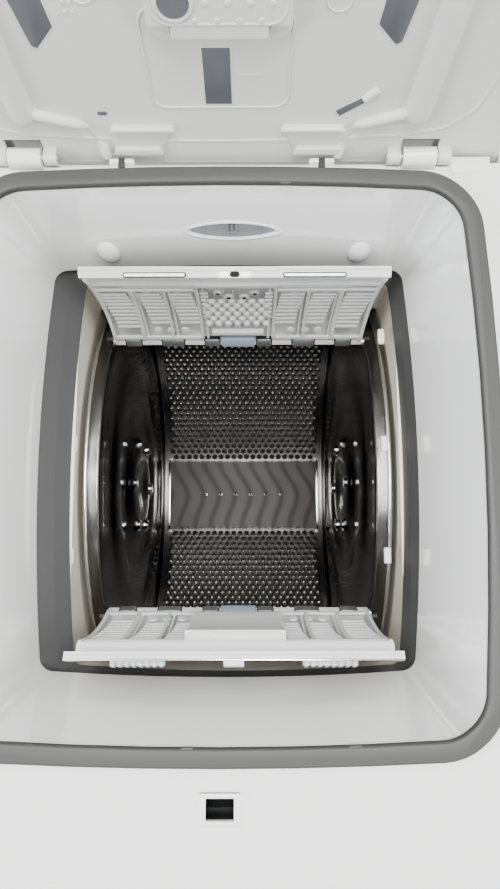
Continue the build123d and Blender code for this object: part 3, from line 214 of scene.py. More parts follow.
class Recipe:
    """One material's nodes, mixed in code round a Principled shader."""

    def __init__(self, name: str) -> None:
        """Start an empty material.

        Args:
            name: The material's name.
        """
        self.material = bpy.data.materials.new(name)
        self.material.use_nodes = True
        self.tree = self.material.node_tree
        self.shader = self.tree.nodes["Principled BSDF"]

    def node(
        self,
        kind: str,
        settings: dict[str, object] | None = None,
        inputs: dict[int | str, "Wire | float | tuple"] | None = None,
        output: int | str = 0,
    ) -> Wire:
        """Add a node.

        Args:
            kind: The node's type.
            settings: Its settings, set before anything is joined to it; "stops" fills a colour ramp.
            inputs: The values or wires of its input sockets.
            output: Which output socket is wanted.

        Returns:
            The wire from that output.
        """
        made = self.tree.nodes.new(kind)
        for key, value in (settings or {}).items():
            if key == "stops":
                ramp = made.color_ramp.elements
                while len(ramp) < len(value):
                    ramp.new(0.5)
                for stop, (place, colour) in zip(ramp, value):
                    stop.position = place
                    stop.color = (*colour, 1.0)
            else:
                setattr(made, key, value)
        for key, value in (inputs or {}).items():
            if isinstance(value, Wire):
                self.tree.links.new(value.socket, made.inputs[key])
            else:
                made.inputs[key].default_value = value
        return Wire(self, made.outputs[output])

    def place(self, stretch: Point = (1.0, 1.0, 1.0)) -> Wire:
        """Object coordinates, stretched.

        Args:
            stretch: How often the pattern repeats along each axis, against the others.

        Returns:
            The coordinates.
        """
        where = self.node("ShaderNodeTexCoord", output="Object")
        return self.node("ShaderNodeMapping", inputs={"Vector": where, "Scale": stretch})

    def noise(self, where: Wire, per_metre: float, detail: float = 3.0) -> Wire:
        """Smooth noise from 0 to 1.

        Args:
            where: The coordinates.
            per_metre: How many blotches fit in a metre.
            detail: How many finer layers it has.

        Returns:
            The noise value.
        """
        wanted = {"Vector": where, "Scale": per_metre, "Detail": detail}
        return self.node("ShaderNodeTexNoise", inputs=wanted, output="Fac")

    def tint(self, share: Wire, low: Point, high: Point) -> Wire:
        """A colour between two.

        Args:
            share: 0 for the low colour, 1 for the high one.
            low: The first colour.
            high: The second colour.

        Returns:
            The mixed colour.
        """
        wanted = {"Factor": share, 6: (*low, 1.0), 7: (*high, 1.0)}
        return self.node("ShaderNodeMix", {"data_type": "RGBA"}, wanted, output=2)

    def bump(self, height: Wire, depth: float) -> None:
        """Raise the surface by a height map.

        Args:
            height: The map, 0 to 1.
            depth: The relief's depth in metres.
        """
        normal = self.node("ShaderNodeBump", inputs={"Height": height, "Distance": depth}, output=0)
        self.tree.links.new(normal.socket, self.shader.inputs["Normal"])

    def feed(self, socket: str, value: "Wire | float | tuple") -> None:
        """Give one of the shader's own sockets a wire or a constant.

        Args:
            socket: The socket's name.
            value: What it gets.
        """
        if isinstance(value, Wire):
            self.tree.links.new(value.socket, self.shader.inputs[socket])
        else:
            self.shader.inputs[socket].default_value = value


# ------------------------------------------------------------------ finishes
class Grain(Enum):
    """How a finish varies over its surface."""

    PEEL = "soft orange peel of moulded or enamelled parts"
    SATIN = "fine spark-eroded texture of a mould"
    BRUSHED = "fine lines of brushed sheet"
    SPANGLE = "crystals of hot-dip zinc"
    CAST = "rough skin of a casting"
    RUBBER = "matt rubber with a bloom"
    RIDGED = "drawn ridges that wander across a pressing"
    BOARD = "copper lands under solder mask"


@dataclass(frozen=True)
class Finish:
    """A finish, and the material slot of the record that it stands for."""

    name: str
    slot: str
    colour: Point
    roughness: float
    grain: Grain
    metallic: float = 0.0
    coat: float = 0.0
    per_metre: float = 400.0
    depth: float = 0.00002
    spread: float = 0.03
    stretch: Point = (1.0, 1.0, 1.0)
    clear: float = 0.0

    def shades(self) -> tuple[Point, Point]:
        """The darkest and lightest colour of the finish.

        Returns:
            Both colours.
        """
        low = tuple(max(0.0, c * (1.0 - self.spread)) for c in self.colour)
        high = tuple(min(1.0, c * (1.0 + self.spread)) for c in self.colour)
        return low, high

    def height(self, recipe: Recipe) -> Wire:
        """The small relief that goes with the grain.

        Args:
            recipe: The material being mixed.

        Returns:
            A height map from 0 to 1.
        """
        where = recipe.place(self.stretch)
        if self.grain is Grain.SPANGLE:
            wanted = {"Vector": where, "Scale": self.per_metre, "Randomness": 1.0}
            return recipe.node("ShaderNodeTexVoronoi", inputs=wanted, output="Distance")
        if self.grain is Grain.RIDGED:
            along = recipe.node("ShaderNodeSeparateXYZ", inputs={0: where})
            across = Wire(recipe, along.socket.node.outputs["Y"])
            bend = (across * WAVES_PER_METRE).wave() * WAVE_WIDTH
            ridge = ((along + bend + across * WAVE_SLANT) * self.per_metre).wave()
            return (ridge * 0.5 + 0.5) ** 3.0
        if self.grain is Grain.BOARD:
            wanted = {"Vector": where, "Scale": self.per_metre}
            return recipe.node("ShaderNodeTexBrick", inputs=wanted, output="Fac")
        detail = {Grain.CAST: 6.0, Grain.SATIN: 5.0, Grain.RUBBER: 4.0}.get(self.grain, 2.0)
        return recipe.noise(where, self.per_metre, detail)

    def material(self) -> bpy.types.Material:
        """Mix the finish's material, once.

        Returns:
            The material.
        """
        found = bpy.data.materials.get(self.name)
        if found:
            return found
        recipe = Recipe(self.name)
        low, high = self.shades()
        height = self.height(recipe)
        cloud = recipe.noise(recipe.place(), 9.0, 4.0)
        recipe.feed("Base Color", recipe.tint(cloud * 0.6 + height * 0.4, low, high))
        worn = self.roughness * 0.35
        recipe.feed("Roughness", cloud * worn + height * worn * 0.5 + (self.roughness - worn * 0.75))
        recipe.feed("Metallic", self.metallic)
        recipe.feed("Coat Weight", self.coat)
        recipe.feed("Coat Roughness", 0.08)
        recipe.bump(height, self.depth)
        if self.clear:
            recipe.feed("Alpha", 1.0 - self.clear)
        return recipe.material


WHITE_STEEL = Finish(
    "white_enamel", "white_steel", (0.70, 0.705, 0.695), 0.22, Grain.PEEL, coat=0.5, per_metre=700,
    spread=0.012,
)
# Glossy white plastic of the well and other mouldings, its colour set well above the top plate's so the
# shaded well reads bright: painted light.
WHITE = Finish(
    "white_gloss_plastic_painted_light", "white_plastic", (0.95, 0.95, 0.945), 0.12, Grain.PEEL, coat=1.0, per_metre=420,
    spread=0.015,
)
PLATE_WHITE = Finish(
    "white_moulded_top", "white_plastic", (0.76, 0.762, 0.75), 0.24, Grain.PEEL, coat=0.4, per_metre=420,
    spread=0.015,
)
# The same white plastic as the top plate, its colour set far darker for the lid's upright inner face, which
# gets less light: painted shade.
LID_WHITE = Finish(
    "white_satin_plastic_painted_shade", "white_plastic", (0.575, 0.575, 0.562), 0.38, Grain.SATIN, per_metre=1500,
    spread=0.02, depth=0.00001,
)
FLAP_WHITE = Finish(
    "white_polypropylene", "white_plastic", (0.66, 0.665, 0.66), 0.36, Grain.SATIN, per_metre=1200,
    spread=0.03, depth=0.00001,
)
SHELL_WHITE = Finish(
    "white_textured_plastic", "white_plastic", (0.69, 0.69, 0.68), 0.42, Grain.SATIN, per_metre=2200,
    spread=0.015,
)
GREY = Finish("grey_plastic_finish", "grey_plastic", (0.17, 0.18, 0.19), 0.45, Grain.SATIN, per_metre=1500)
BLACK = Finish(
    "black_plastic_finish", "black_plastic", (0.012, 0.012, 0.013), 0.4, Grain.SATIN, per_metre=1500
)
SLATE = Finish(
    "slate_window", "grey_plastic", (0.080, 0.085, 0.096), 0.3, Grain.PEEL, coat=0.4, per_metre=200,
    spread=0.1,
)
SEAL = Finish(
    "grey_seal_rubber", "grey_seal", (0.042, 0.042, 0.041), 0.55, Grain.RUBBER, per_metre=900, spread=0.06
)
BELLOWS = Finish(
    "bellows_rubber", "dark_rubber", (0.046, 0.046, 0.046), 0.48, Grain.RUBBER, per_metre=500, spread=0.10
)
BLACK_RUBBER = Finish(
    "black_rubber", "dark_rubber", (0.02, 0.02, 0.021), 0.65, Grain.RUBBER, per_metre=700, spread=0.15
)
CREAM = Finish(
    "cream_talc_plastic", "cream_plastic", (0.78, 0.74, 0.64), 0.5, Grain.SATIN, per_metre=900, spread=0.05
)
DRUM_STEEL = Finish(
    "drum_steel", "stainless_steel", (0.25, 0.245, 0.23), 0.24, Grain.BRUSHED, 1.0, per_metre=900,
    spread=0.08, stretch=(0.05, 1, 1),
)
# Stainless steel of the lifters, its colour a tenth of the shell's so the lifters sink into the drum's shade:
# painted shade.
SHADED_LIFTER_STEEL = Finish(
    "lifter_steel_painted_shade", "stainless_steel", (0.025, 0.024, 0.022), 0.48, Grain.RIDGED, 1.0, per_metre=250,
    spread=0.05, depth=0.0002,
)
POLISHED = Finish(
    "polished_steel", "stainless_steel", (0.56, 0.55, 0.53), 0.12, Grain.BRUSHED, 1.0, per_metre=300,
    spread=0.06, stretch=(1, 0.2, 0.2),
)
END_STEEL = Finish(
    "drum_end_steel", "stainless_steel", (0.12, 0.118, 0.113), 0.17, Grain.BRUSHED, 1.0, per_metre=260,
    spread=0.10, stretch=(1, 0.3, 0.3),
)
CHROME = Finish(
    "chrome_plate", "chrome", (0.74, 0.73, 0.71), 0.09, Grain.PEEL, 1.0, per_metre=150, spread=0.04
)
BLUE_GREY = Finish(
    "blue_grey_acetal", "blue_grey_plastic", (0.29, 0.34, 0.41), 0.38, Grain.SATIN, per_metre=1300,
    spread=0.04,
)
ZINC = Finish(
    "zinc_coat", "galvanised_steel", (0.50, 0.51, 0.52), 0.42, Grain.SPANGLE, 0.9, per_metre=110,
    spread=0.16, depth=0.00001,
)
IRON = Finish(
    "cast_iron_skin", "cast_iron", (0.10, 0.10, 0.10), 0.72, Grain.CAST, 0.2, per_metre=350, spread=0.2,
    depth=0.0004,
)
ALUMINIUM = Finish(
    "die_cast_aluminium", "aluminium", (0.55, 0.55, 0.55), 0.42, Grain.CAST, 0.95, per_metre=450,
    spread=0.08, depth=0.0001,
)
BOARD = Finish(
    "solder_mask", "circuit_board", (0.015, 0.12, 0.05), 0.35, Grain.BOARD, per_metre=220, spread=0.5
)
# Near black that stands for the shade inside holes, slots, vents, recesses and gaps: painted shade.
HOLE_SHADOW = Finish("hole_shadow", "black_plastic", (0.004, 0.004, 0.004), 0.9, Grain.SATIN, per_metre=1000)
CLEAR = Finish(
    "clear_polycarbonate", "grey_plastic", (0.55, 0.58, 0.60), 0.12, Grain.PEEL, coat=0.6, per_metre=300,
    clear=0.45,
)
INSERT = Finish(
    "pale_blue_plastic", "white_plastic", (0.22, 0.24, 0.26), 0.4, Grain.SATIN, per_metre=900, spread=0.03
)
DISPLAY = Finish(
    "display_glass", "black_plastic", (0.02, 0.025, 0.03), 0.1, Grain.PEEL, coat=1.0, per_metre=300
)


# ------------------------------------------------------------------ modelling bench
class Bench:
    """Models pieces in their places, unturned and unscaled, and counts them."""

    def __init__(self) -> None:
        """Start with an empty count."""
        self.made = 0

    def clear(self) -> None:
        """Deselect everything."""
        bpy.ops.object.select_all(action="DESELECT")

    def hold(self, *pieces: bpy.types.Object) -> None:
        """Select some pieces, the first of them active.

        Args:
            pieces: The pieces.
        """
        self.clear()
        for piece in pieces:
            piece.select_set(True)
        bpy.context.view_layer.objects.active = pieces[0]

    def settle(self, piece: bpy.types.Object) -> bpy.types.Object:
        """Put a piece's place and turn into its mesh.

        Args:
            piece: The piece.

        Returns:
            The same piece, at the origin.
        """
        self.hold(piece)
        bpy.ops.object.transform_apply(location=True, rotation=True, scale=True)
        return piece

    def tidy(self, piece: bpy.types.Object) -> bpy.types.Object:
        """Merge doubles and turn every face outwards.

        Args:
            piece: The piece.

        Returns:
            The same piece.
        """
        self.hold(piece)
        bpy.ops.object.mode_set(mode="EDIT")
        bpy.ops.mesh.select_all(action="SELECT")
        bpy.ops.mesh.remove_doubles(threshold=MERGE)
        bpy.ops.mesh.normals_make_consistent(inside=False)
        bpy.ops.object.mode_set(mode="OBJECT")
        return piece

    def soften(self, piece: bpy.types.Object, radius: float, segments: int = 3) -> bpy.types.Object:
        """Round a piece's sharp edges.

        Args:
            piece: The piece.
            radius: The rounding.
            segments: How many facets it has.

        Returns:
            The same piece.
        """
        if radius <= 0:
            return piece
        self.hold(piece)
        bevel = piece.modifiers.new("rounding", "BEVEL")
        bevel.width = radius
        bevel.segments = segments
        bevel.limit_method = "ANGLE"
        bevel.angle_limit = math.radians(35)
        bpy.ops.object.modifier_apply(modifier=bevel.name)
        return piece

    def block(self, low: Point, high: Point, radius: float = 0.0, segments: int = 3) -> bpy.types.Object:
        """A rectangular body with rounded edges, to be joined to others.

        Args:
            low: Its lowest corner.
            high: Its highest corner.
            radius: The edges' rounding.
            segments: How many facets the rounding has.

        Returns:
            The piece.
        """
        start, end = Vector(low), Vector(high)
        self.clear()
        bpy.ops.mesh.primitive_cube_add(size=1.0, location=(start + end) / 2, scale=end - start)
        return self.soften(self.settle(bpy.context.object), radius, segments)

    def rod(
        self, start: Vector, end: Vector, radius: float, sides: int = 20, end_radius: float | None = None
    ) -> bpy.types.Object:
        """A round bar or cone between two points, to be joined to others.

        Args:
            start: One end's middle.
            end: The other end's middle.
            radius: Its radius at the start.
            sides: How many sides it has.
            end_radius: Its radius at the end, if not the same.

        Returns:
            The piece.
        """
        start, end = Vector(start), Vector(end)
        along = end - start
        top = radius if end_radius is None else end_radius
        turn = along.to_track_quat("Z", "Y").to_euler()
        self.clear()
        bpy.ops.mesh.primitive_cone_add(
            vertices=sides,
            radius1=radius,
            radius2=top,
            depth=along.length,
            location=(start + end) / 2,
            rotation=turn,
        )
        return self.settle(bpy.context.object)

    def pen(self, points: list[Vector], filled: bool) -> bpy.types.Object:
        """Draw a line of points by extruding one vertex.

        Args:
            points: The points, in order.
            filled: Whether the line is closed and filled with a face.

        Returns:
            The drawn piece, still in edit mode and selected.
        """
        self.clear()
        bpy.ops.mesh.primitive_plane_add(size=0.001, location=points[0])
        bpy.ops.object.mode_set(mode="EDIT")
        bpy.ops.mesh.select_all(action="SELECT")
        bpy.ops.mesh.merge(type="CENTER")
        route = [*points, points[0]] if filled else points
        for here, there in zip(route, route[1:]):
            step = Vector(there) - Vector(here)
            bpy.ops.mesh.extrude_vertices_move(TRANSFORM_OT_translate={"value": step})
        if filled:
            bpy.ops.mesh.select_all(action="SELECT")
            bpy.ops.mesh.remove_doubles(threshold=MERGE)
            bpy.ops.mesh.edge_face_add()
        bpy.ops.mesh.select_all(action="SELECT")
        return bpy.context.object

    def plate(
        self, points: list[Vector], along: Vector, radius: float = 0.0, segments: int = 3
    ) -> bpy.types.Object:
        """A flat outline pulled into a solid.

        Args:
            points: The outline.
            along: Which way and how far it is pulled.
            radius: The edges' rounding.
            segments: How many facets the rounding has.

        Returns:
            The piece.
        """
        piece = self.pen(points, True)
        bpy.ops.mesh.extrude_region_move(TRANSFORM_OT_translate={"value": Vector(along)})
        bpy.ops.object.mode_set(mode="OBJECT")
        self.settle(piece)
        return self.soften(self.tidy(piece), radius, segments)

    def spun(
        self,
        points: list[Vector],
        filled: bool,
        axis: Vector,
        centre: Vector,
        degrees: float = 360.0,
        steps: int = 48,
    ) -> bpy.types.Object:
        """A drawn line or outline spun about an axis.

        Args:
            points: The line's points.
            filled: Whether it is a filled outline.
            axis: The axis it turns about.
            centre: A point on the axis.
            degrees: How far it turns.
            steps: In how many steps.

        Returns:
            The piece.
        """
        piece = self.pen(points, filled)
        bpy.ops.mesh.spin(steps=steps, angle=-math.radians(degrees), center=centre, axis=axis)
        bpy.ops.object.mode_set(mode="OBJECT")
        self.settle(piece)
        return self.tidy(piece)

    def coil(
        self, start: Vector, end: Vector, radius: float, wire: float, turns: int, sides: int = 6
    ) -> bpy.types.Object:
        """A helical spring between two points.

        Args:
            start: One end of its axis.
            end: The other end of its axis.
            radius: From the axis to the wire's middle.
            wire: The wire's radius.
            turns: How many turns it has.
            sides: How many sides the wire has.

        Returns:
            The piece.
        """
        along = Vector(end) - Vector(start)
        self.clear()
        bpy.ops.mesh.primitive_circle_add(
            vertices=sides, radius=wire, location=(radius, 0, 0), rotation=(math.pi / 2, 0, 0)
        )
        piece = bpy.context.object
        self.settle(piece)
        screw = piece.modifiers.new("turns", "SCREW")
        screw.screw_offset = along.length / turns
        screw.iterations = turns
        screw.steps = 14
        screw.render_steps = 14
        bpy.ops.object.modifier_apply(modifier=screw.name)
        piece.matrix_world = Matrix.LocRotScale(Vector(start), along.to_track_quat("Z", "Y"), None)
        return self.tidy(self.settle(piece))

    def moved(self, piece: bpy.types.Object, matrix: Matrix) -> bpy.types.Object:
        """Move a piece and put its place into its mesh.

        Args:
            piece: The piece.
            matrix: The move.

        Returns:
            The same piece.
        """
        piece.matrix_world = matrix @ piece.matrix_world
        return self.settle(piece)

    def copies(self, piece: bpy.types.Object, moves: list[Matrix]) -> list[bpy.types.Object]:
        """Copy a piece to several places, each copy with its own mesh.

        Args:
            piece: The piece.
            moves: One move for each copy.

        Returns:
            The copies; the first piece is used up.
        """
        made = []
        for move in moves:
            self.hold(piece)
            bpy.ops.object.duplicate(linked=False)
            made.append(self.moved(bpy.context.object, move))
        bpy.data.objects.remove(piece)
        return made

    def cut(self, piece: bpy.types.Object, tool: bpy.types.Object) -> bpy.types.Object:
        """Cut one piece out of another.

        Args:
            piece: The piece that stays.
            tool: The piece that is taken away and used up.

        Returns:
            The cut piece.
        """
        self.hold(piece)
        cutter = piece.modifiers.new("opening", "BOOLEAN")
        cutter.object = tool
        cutter.operation = "DIFFERENCE"
        cutter.solver = "EXACT"
        bpy.ops.object.modifier_apply(modifier=cutter.name)
        bpy.data.objects.remove(tool)
        return piece

    def join(self, pieces: list[bpy.types.Object]) -> bpy.types.Object:
        """Join pieces of one finish into one.

        Args:
            pieces: The pieces.

        Returns:
            The joined piece.
        """
        if len(pieces) == 1:
            return pieces[0]
        self.hold(*pieces)
        bpy.ops.object.join()
        return bpy.context.object

    def finish(
        self,
        piece: bpy.types.Object | list[bpy.types.Object],
        name: str,
        body: str,
        look: Finish,
        angle: float = 35.0,
        replaces: tuple[str, ...] = (),
    ) -> bpy.types.Object:
        """Name, smooth and dress a piece and let it ride on its body.

        Args:
            piece: The piece, or the pieces to be joined into it.
            name: Its name.
            body: The body of the construction that it moves with.
            look: Its finish.
            angle: Edges sharper than this stay sharp.
            replaces: The construction's nodes that it stands for.

        Returns:
            The finished piece.
        """
        whole = self.join(piece) if isinstance(piece, list) else piece
        whole.name = name
        whole.data.name = name
        whole.data.materials.clear()
        whole.data.materials.append(look.material())
        self.hold(whole)
        bpy.ops.object.shade_smooth_by_angle(angle=math.radians(angle))
        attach(whole, body)
        if replaces:
            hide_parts(*replaces)
        self.made += 1
        log.info("%s: %d faces, %s", name, len(whole.data.polygons), look.name)
        return whole

    def dress(self, look: Finish, *nodes: str) -> None:
        """Give some of the construction's own pieces a finish.

        Args:
            look: The finish.
            nodes: The nodes' names.
        """
        for node in nodes:
            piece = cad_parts[node]
            piece.data.materials.clear()
            piece.data.materials.append(look.material())


# ------------------------------------------------------------------ cabinet
def barrel_line(front: float, rear: float, half: float, corner: float, z: float) -> list[Vector]:
    """The rounded opening of the well, whose four sides bow outwards, as a closed line.

    Args:
        front: Its front edge.
        rear: Its rear edge.
        half: Half its width in the middle.
        corner: The corners' radius.
        z: Its height.

    Returns:
        The line's points, anticlockwise from above.
    """
    bow_x, bow_y = 0.009, 0.0055
    middle = Vector((0, (front + rear) / 2, z))
    end_x = half - bow_x
    end_y = (rear - front) / 2 - bow_y
    points = []
    for side_x, side_y, turned in ((1, -1, False), (1, 1, True), (-1, 1, False), (-1, -1, True)):
        share_y = 1 - corner / end_y
        share_x = 1 - corner / end_x
        tip = Vector((side_x * end_x, side_y * end_y, 0))
        beside = Vector((side_x * (half - bow_x * share_y**2), tip.y - side_y * corner, 0))
        ahead = Vector((tip.x - side_x * corner, side_y * (end_y + bow_y * (1 - share_x**2)), 0))
        start, end = (beside, ahead) if turned else (ahead, beside)
        for step in range(11):
            t = step / 10
            pull = 3 * t * (1 - t) * (tip * 0.55)
            plain = start * (1 - t) ** 3 + end * t**3
            hold = 3 * t * (1 - t) * 0.45 * (start * (1 - t) + end * t)
            points.append(middle + plain + pull + hold)
        for step in (-2, -1, 0, 1, 2):
            if turned:
                x = -step / 3 * (end_x - corner)
                y = end_y + bow_y * (1 - (x / end_x) ** 2)
                points.append(middle + Vector((side_y * x, side_y * y, 0)))
            else:
                y = step / 3 * (end_y - corner)
                x = half - bow_x * (y / end_y) ** 2
                points.append(middle + Vector((side_x * x, side_x * y, 0)))
    return points


# Lowest and highest corner (y, z) of each bead on a side panel.
BEADS = (
    ((-0.250, 0.160), (-0.236, 0.780)),
    ((0.226, 0.160), (0.240, 0.780)),
    ((-0.236, 0.160), (0.226, 0.174)),
    ((-0.236, 0.766), (0.226, 0.780)),
)
# Where the two lid stops stand across the top plate, and the outline of one of them.
LID_STOPS = (-0.071, 0.070)
LID_STOP_FOOT = (
    (-0.009, 0.170, 0.856),
    (0.009, 0.170, 0.856),
    (0.009, 0.176, 0.8645),
    (-0.009, 0.176, 0.8645),
)


@dataclass
class Cabinet:
    """Steel cabinet with its feet, plinth and back, and the moulded top with the loading well."""

    bench: Bench
    bezel_height: float = 0.0026
    slot_y: float = -0.252
    seal_width: float = 0.012
    seal_corner: float = 0.038
    screw_radius: float = 0.0048

    def dress_shell(self) -> None:
        """Give the cabinet's own pieces their finishes."""
        self.bench.dress(WHITE_STEEL, "side_panels", "front_panel", "plinth")
        self.bench.dress(ZINC, "base_tray", "rear_panel")
        self.bench.dress(BLACK_RUBBER, "feet_rear", "foot_front_left", "foot_front_right")
        self.bench.dress(BLACK, "mains_cable_gland")
        self.bench.dress(PLATE_WHITE, "top_plate")
        self.bench.dress(WHITE, "well", "filter_door")
        self.bench.dress(GREY, "filter_cap")

    def build_screws(self) -> None:
        """Pan-head screws that hold the back panel, with a black cross of painted shade for the recess in
        each.
        """
        low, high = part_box("rear_panel")
        face = high.y
        head = self.bench.spun(
            [
                Vector((0, face + 0.0018, 0)),
                Vector((0.0030, face + 0.0016, 0)),
                Vector((self.screw_radius, face + 0.0006, 0)),
                Vector((self.screw_radius, face - 0.0004, 0)),
            ],
            False,
            ALONG_Y,
            Vector((0, face, 0)),
            steps=16,
        )
        # Black slabs through the head draw the cross recess: painted shade.
        slot = self.bench.block((-0.0024, face + 0.001, -0.0004), (0.0024, face + 0.0020, 0.0004))
        cross = self.bench.block((-0.0004, face + 0.001, -0.0024), (0.0004, face + 0.0020, 0.0024))
        marks = self.bench.join([slot, cross])
        heights = [low.z + 0.02 + (high.z - low.z - 0.04) * step / 5 for step in range(6)]
        places = [(x, z) for z in heights for x in (low.x + 0.012, high.x - 0.012)]
        places += [(x, z) for z in (0.272, 0.480, 0.688) for x in (-0.122, 0.122)]
        moves = [Matrix.Translation((x, 0, z)) for x, z in places]
        self.bench.finish(self.bench.copies(head, moves), "rear_panel_screws", "cabinet", CHROME)
        self.bench.finish(self.bench.copies(marks, moves), "rear_panel_screw_recess_shade", "cabinet", HOLE_SHADOW)

    def build_swages(self) -> None:
        """Service cover, stiffening ribs and vent slots of the back panel, the slots drawn as black slabs of
        painted shade, and the side panels' beads.
        """
        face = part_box("rear_panel")[1].y
        ribs = [self.bench.block((-0.132, face - 0.001, 0.260), (0.132, face + 0.0010, 0.700), 0.0008)]
        for z in (0.30, 0.39, 0.48, 0.57, 0.65):
            ribs.append(self.bench.block((-0.105, face, z), (0.105, face + 0.0034, z + 0.016), 0.0022))
        self.bench.finish(ribs, "rear_panel_swages", "cabinet", ZINC)
        # Black slabs in the vent slots: painted shade.
        vent_shades = []
        for row in range(2):
            for step in range(9):
                x = -0.060 + step * 0.015
                z = 0.745 + row * 0.030
                start, end = (x - 0.0022, face - 0.0006, z), (x + 0.0022, face + 0.0003, z + 0.022)
                vent_shades.append(self.bench.block(start, end, 0.0004))
        self.bench.finish(vent_shades, "rear_panel_vent_shades", "cabinet", HOLE_SHADOW)
        beads = []
        for side in (-1, 1):
            wall = side * CAD_BOX[1].x
            for low, high in BEADS:
                beads.append(self.bench.block((wall - 0.0009, *low), (wall + 0.0009, *high), 0.0008))
        self.bench.finish(beads, "side_panel_beads", "cabinet", WHITE_STEEL)

    def build_latch_bezel(self) -> None:
        """Moulded frame round the slot that takes the lid's hook."""
        y = self.slot_y
        corners = ((-0.0135, -0.0095), (0.0135, -0.0095), (0.0135, 0.0095), (-0.0135, 0.0095))
        outer = [Vector((aside, y + along, PLATE_Z - 0.0008)) for aside, along in corners]
        frame_piece = self.bench.plate(outer, Vector((0, 0, self.bezel_height)), 0.0008, 4)
        hole = self.bench.block((-0.0088, y - 0.0066, PLATE_Z - 0.005), (0.0088, y + 0.0066, PLATE_Z + 0.005))
        self.bench.finish(self.bench.cut(frame_piece, hole), "latch_slot_frame", "cabinet", PLATE_WHITE)

    def build_plate_details(self) -> None:
        """Service cover, hinge stops and the black ovals of painted shade in them on the rear of the top
        plate.
        """
        outline = [(0.161, 0.168), (0.189, 0.168), (0.189, 0.1805), (0.161, 0.1805)]
        points = [Vector((x, y, PLATE_Z - 0.0002)) for x, y in outline]
        cover = self.bench.plate(points, Vector((0, 0, 0.0009)), 0.0004)
        self.bench.finish(cover, "top_plate_cover", "cabinet", PLATE_WHITE)
        stops, shade_ovals = [], []
        for x in LID_STOPS:
            foot = [Vector((x + aside, y, z)) for aside, y, z in LID_STOP_FOOT]
            stops.append(self.bench.plate(foot, Vector((0, 0.003, 0)), 0.001))
            # Black ovals set in the stop bosses, given the black rubber finish: painted shade.
            start, end = (x - 0.0023, 0.1712, 0.8635), (x + 0.0023, 0.1788, 0.8652)
            shade_ovals.append(self.bench.block(start, end, 0.0011))
        self.bench.finish(stops, "lid_stop_bosses", "cabinet", PLATE_WHITE)
        self.bench.finish(shade_ovals, "lid_shade_ovals", "cabinet", BLACK_RUBBER)

    def build_seal(self) -> None:
        """Smooth convex lid seal round the well, with its small locating tabs."""
        low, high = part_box("lid_seal")
        wide = self.seal_width
        inner = (low.y + wide, high.y - wide, high.x - wide, self.seal_corner - wide)
        outer = barrel_line(low.y, high.y, high.x, self.seal_corner, low.z)
        ring = self.bench.plate(outer, Vector((0, 0, high.z - low.z)))
        hole = self.bench.plate(barrel_line(*inner, low.z - 0.004), Vector((0, 0, 0.02)))
        self.bench.cut(ring, hole)
        self.bench.soften(self.bench.tidy(ring), 0.0019, 4)
        tabs = [ring]
        front, rear = inner[:2]
        front_tabs = ((-0.118, front + 0.0018), (-0.020, front), (0.084, front + 0.0009))
        for x, y in (*front_tabs, (-0.075, rear), (0.044, rear)):
            start, end = (x - 0.004, y - 0.0012, high.z - 0.0030), (x + 0.004, y + 0.0012, high.z - 0.0006)
            tabs.append(self.bench.block(start, end, 0.0009))
        self.bench.finish(tabs, "lid_seal_profile", "cabinet", SEAL, 50, ("lid_seal",))

    def build(self) -> None:
        """Build and dress the cabinet."""
        self.dress_shell()
        self.build_screws()
        self.build_swages()
        self.build_latch_bezel()
        self.build_plate_details()
        self.build_seal()


# Lowest and highest corner of each body in the nozzle's eye, from the eye's middle.
EYE_WINDOW_AND_SHADE = (
    # The dark middle of the ribbed window.
    ((-0.0028, 0.0009, -0.0062), (0.0028, 0.0024, 0.0072)),
    # Dark slabs under the rim at the eye's upper corners: painted shade.
    ((-0.0212, 0.0006, 0.0088), (-0.0168, 0.0020, 0.0112)),
    ((0.0168, 0.0006, 0.0088), (0.0212, 0.0020, 0.0112)),
)
EYE_BARS = (
    ((-0.0042, 0.0003, -0.0118), (-0.0028, 0.0020, 0.0098)),
    ((-0.0008, 0.0003, -0.0118), (0.0006, 0.0020, 0.0098)),
    ((0.0026, 0.0003, -0.0118), (0.0040, 0.0020, 0.0098)),
    ((-0.0233, 0.0004, -0.010), (-0.0217, 0.0022, 0.0090)),
    ((0.0217, 0.0004, -0.010), (0.0233, 0.0022, 0.0090)),
)


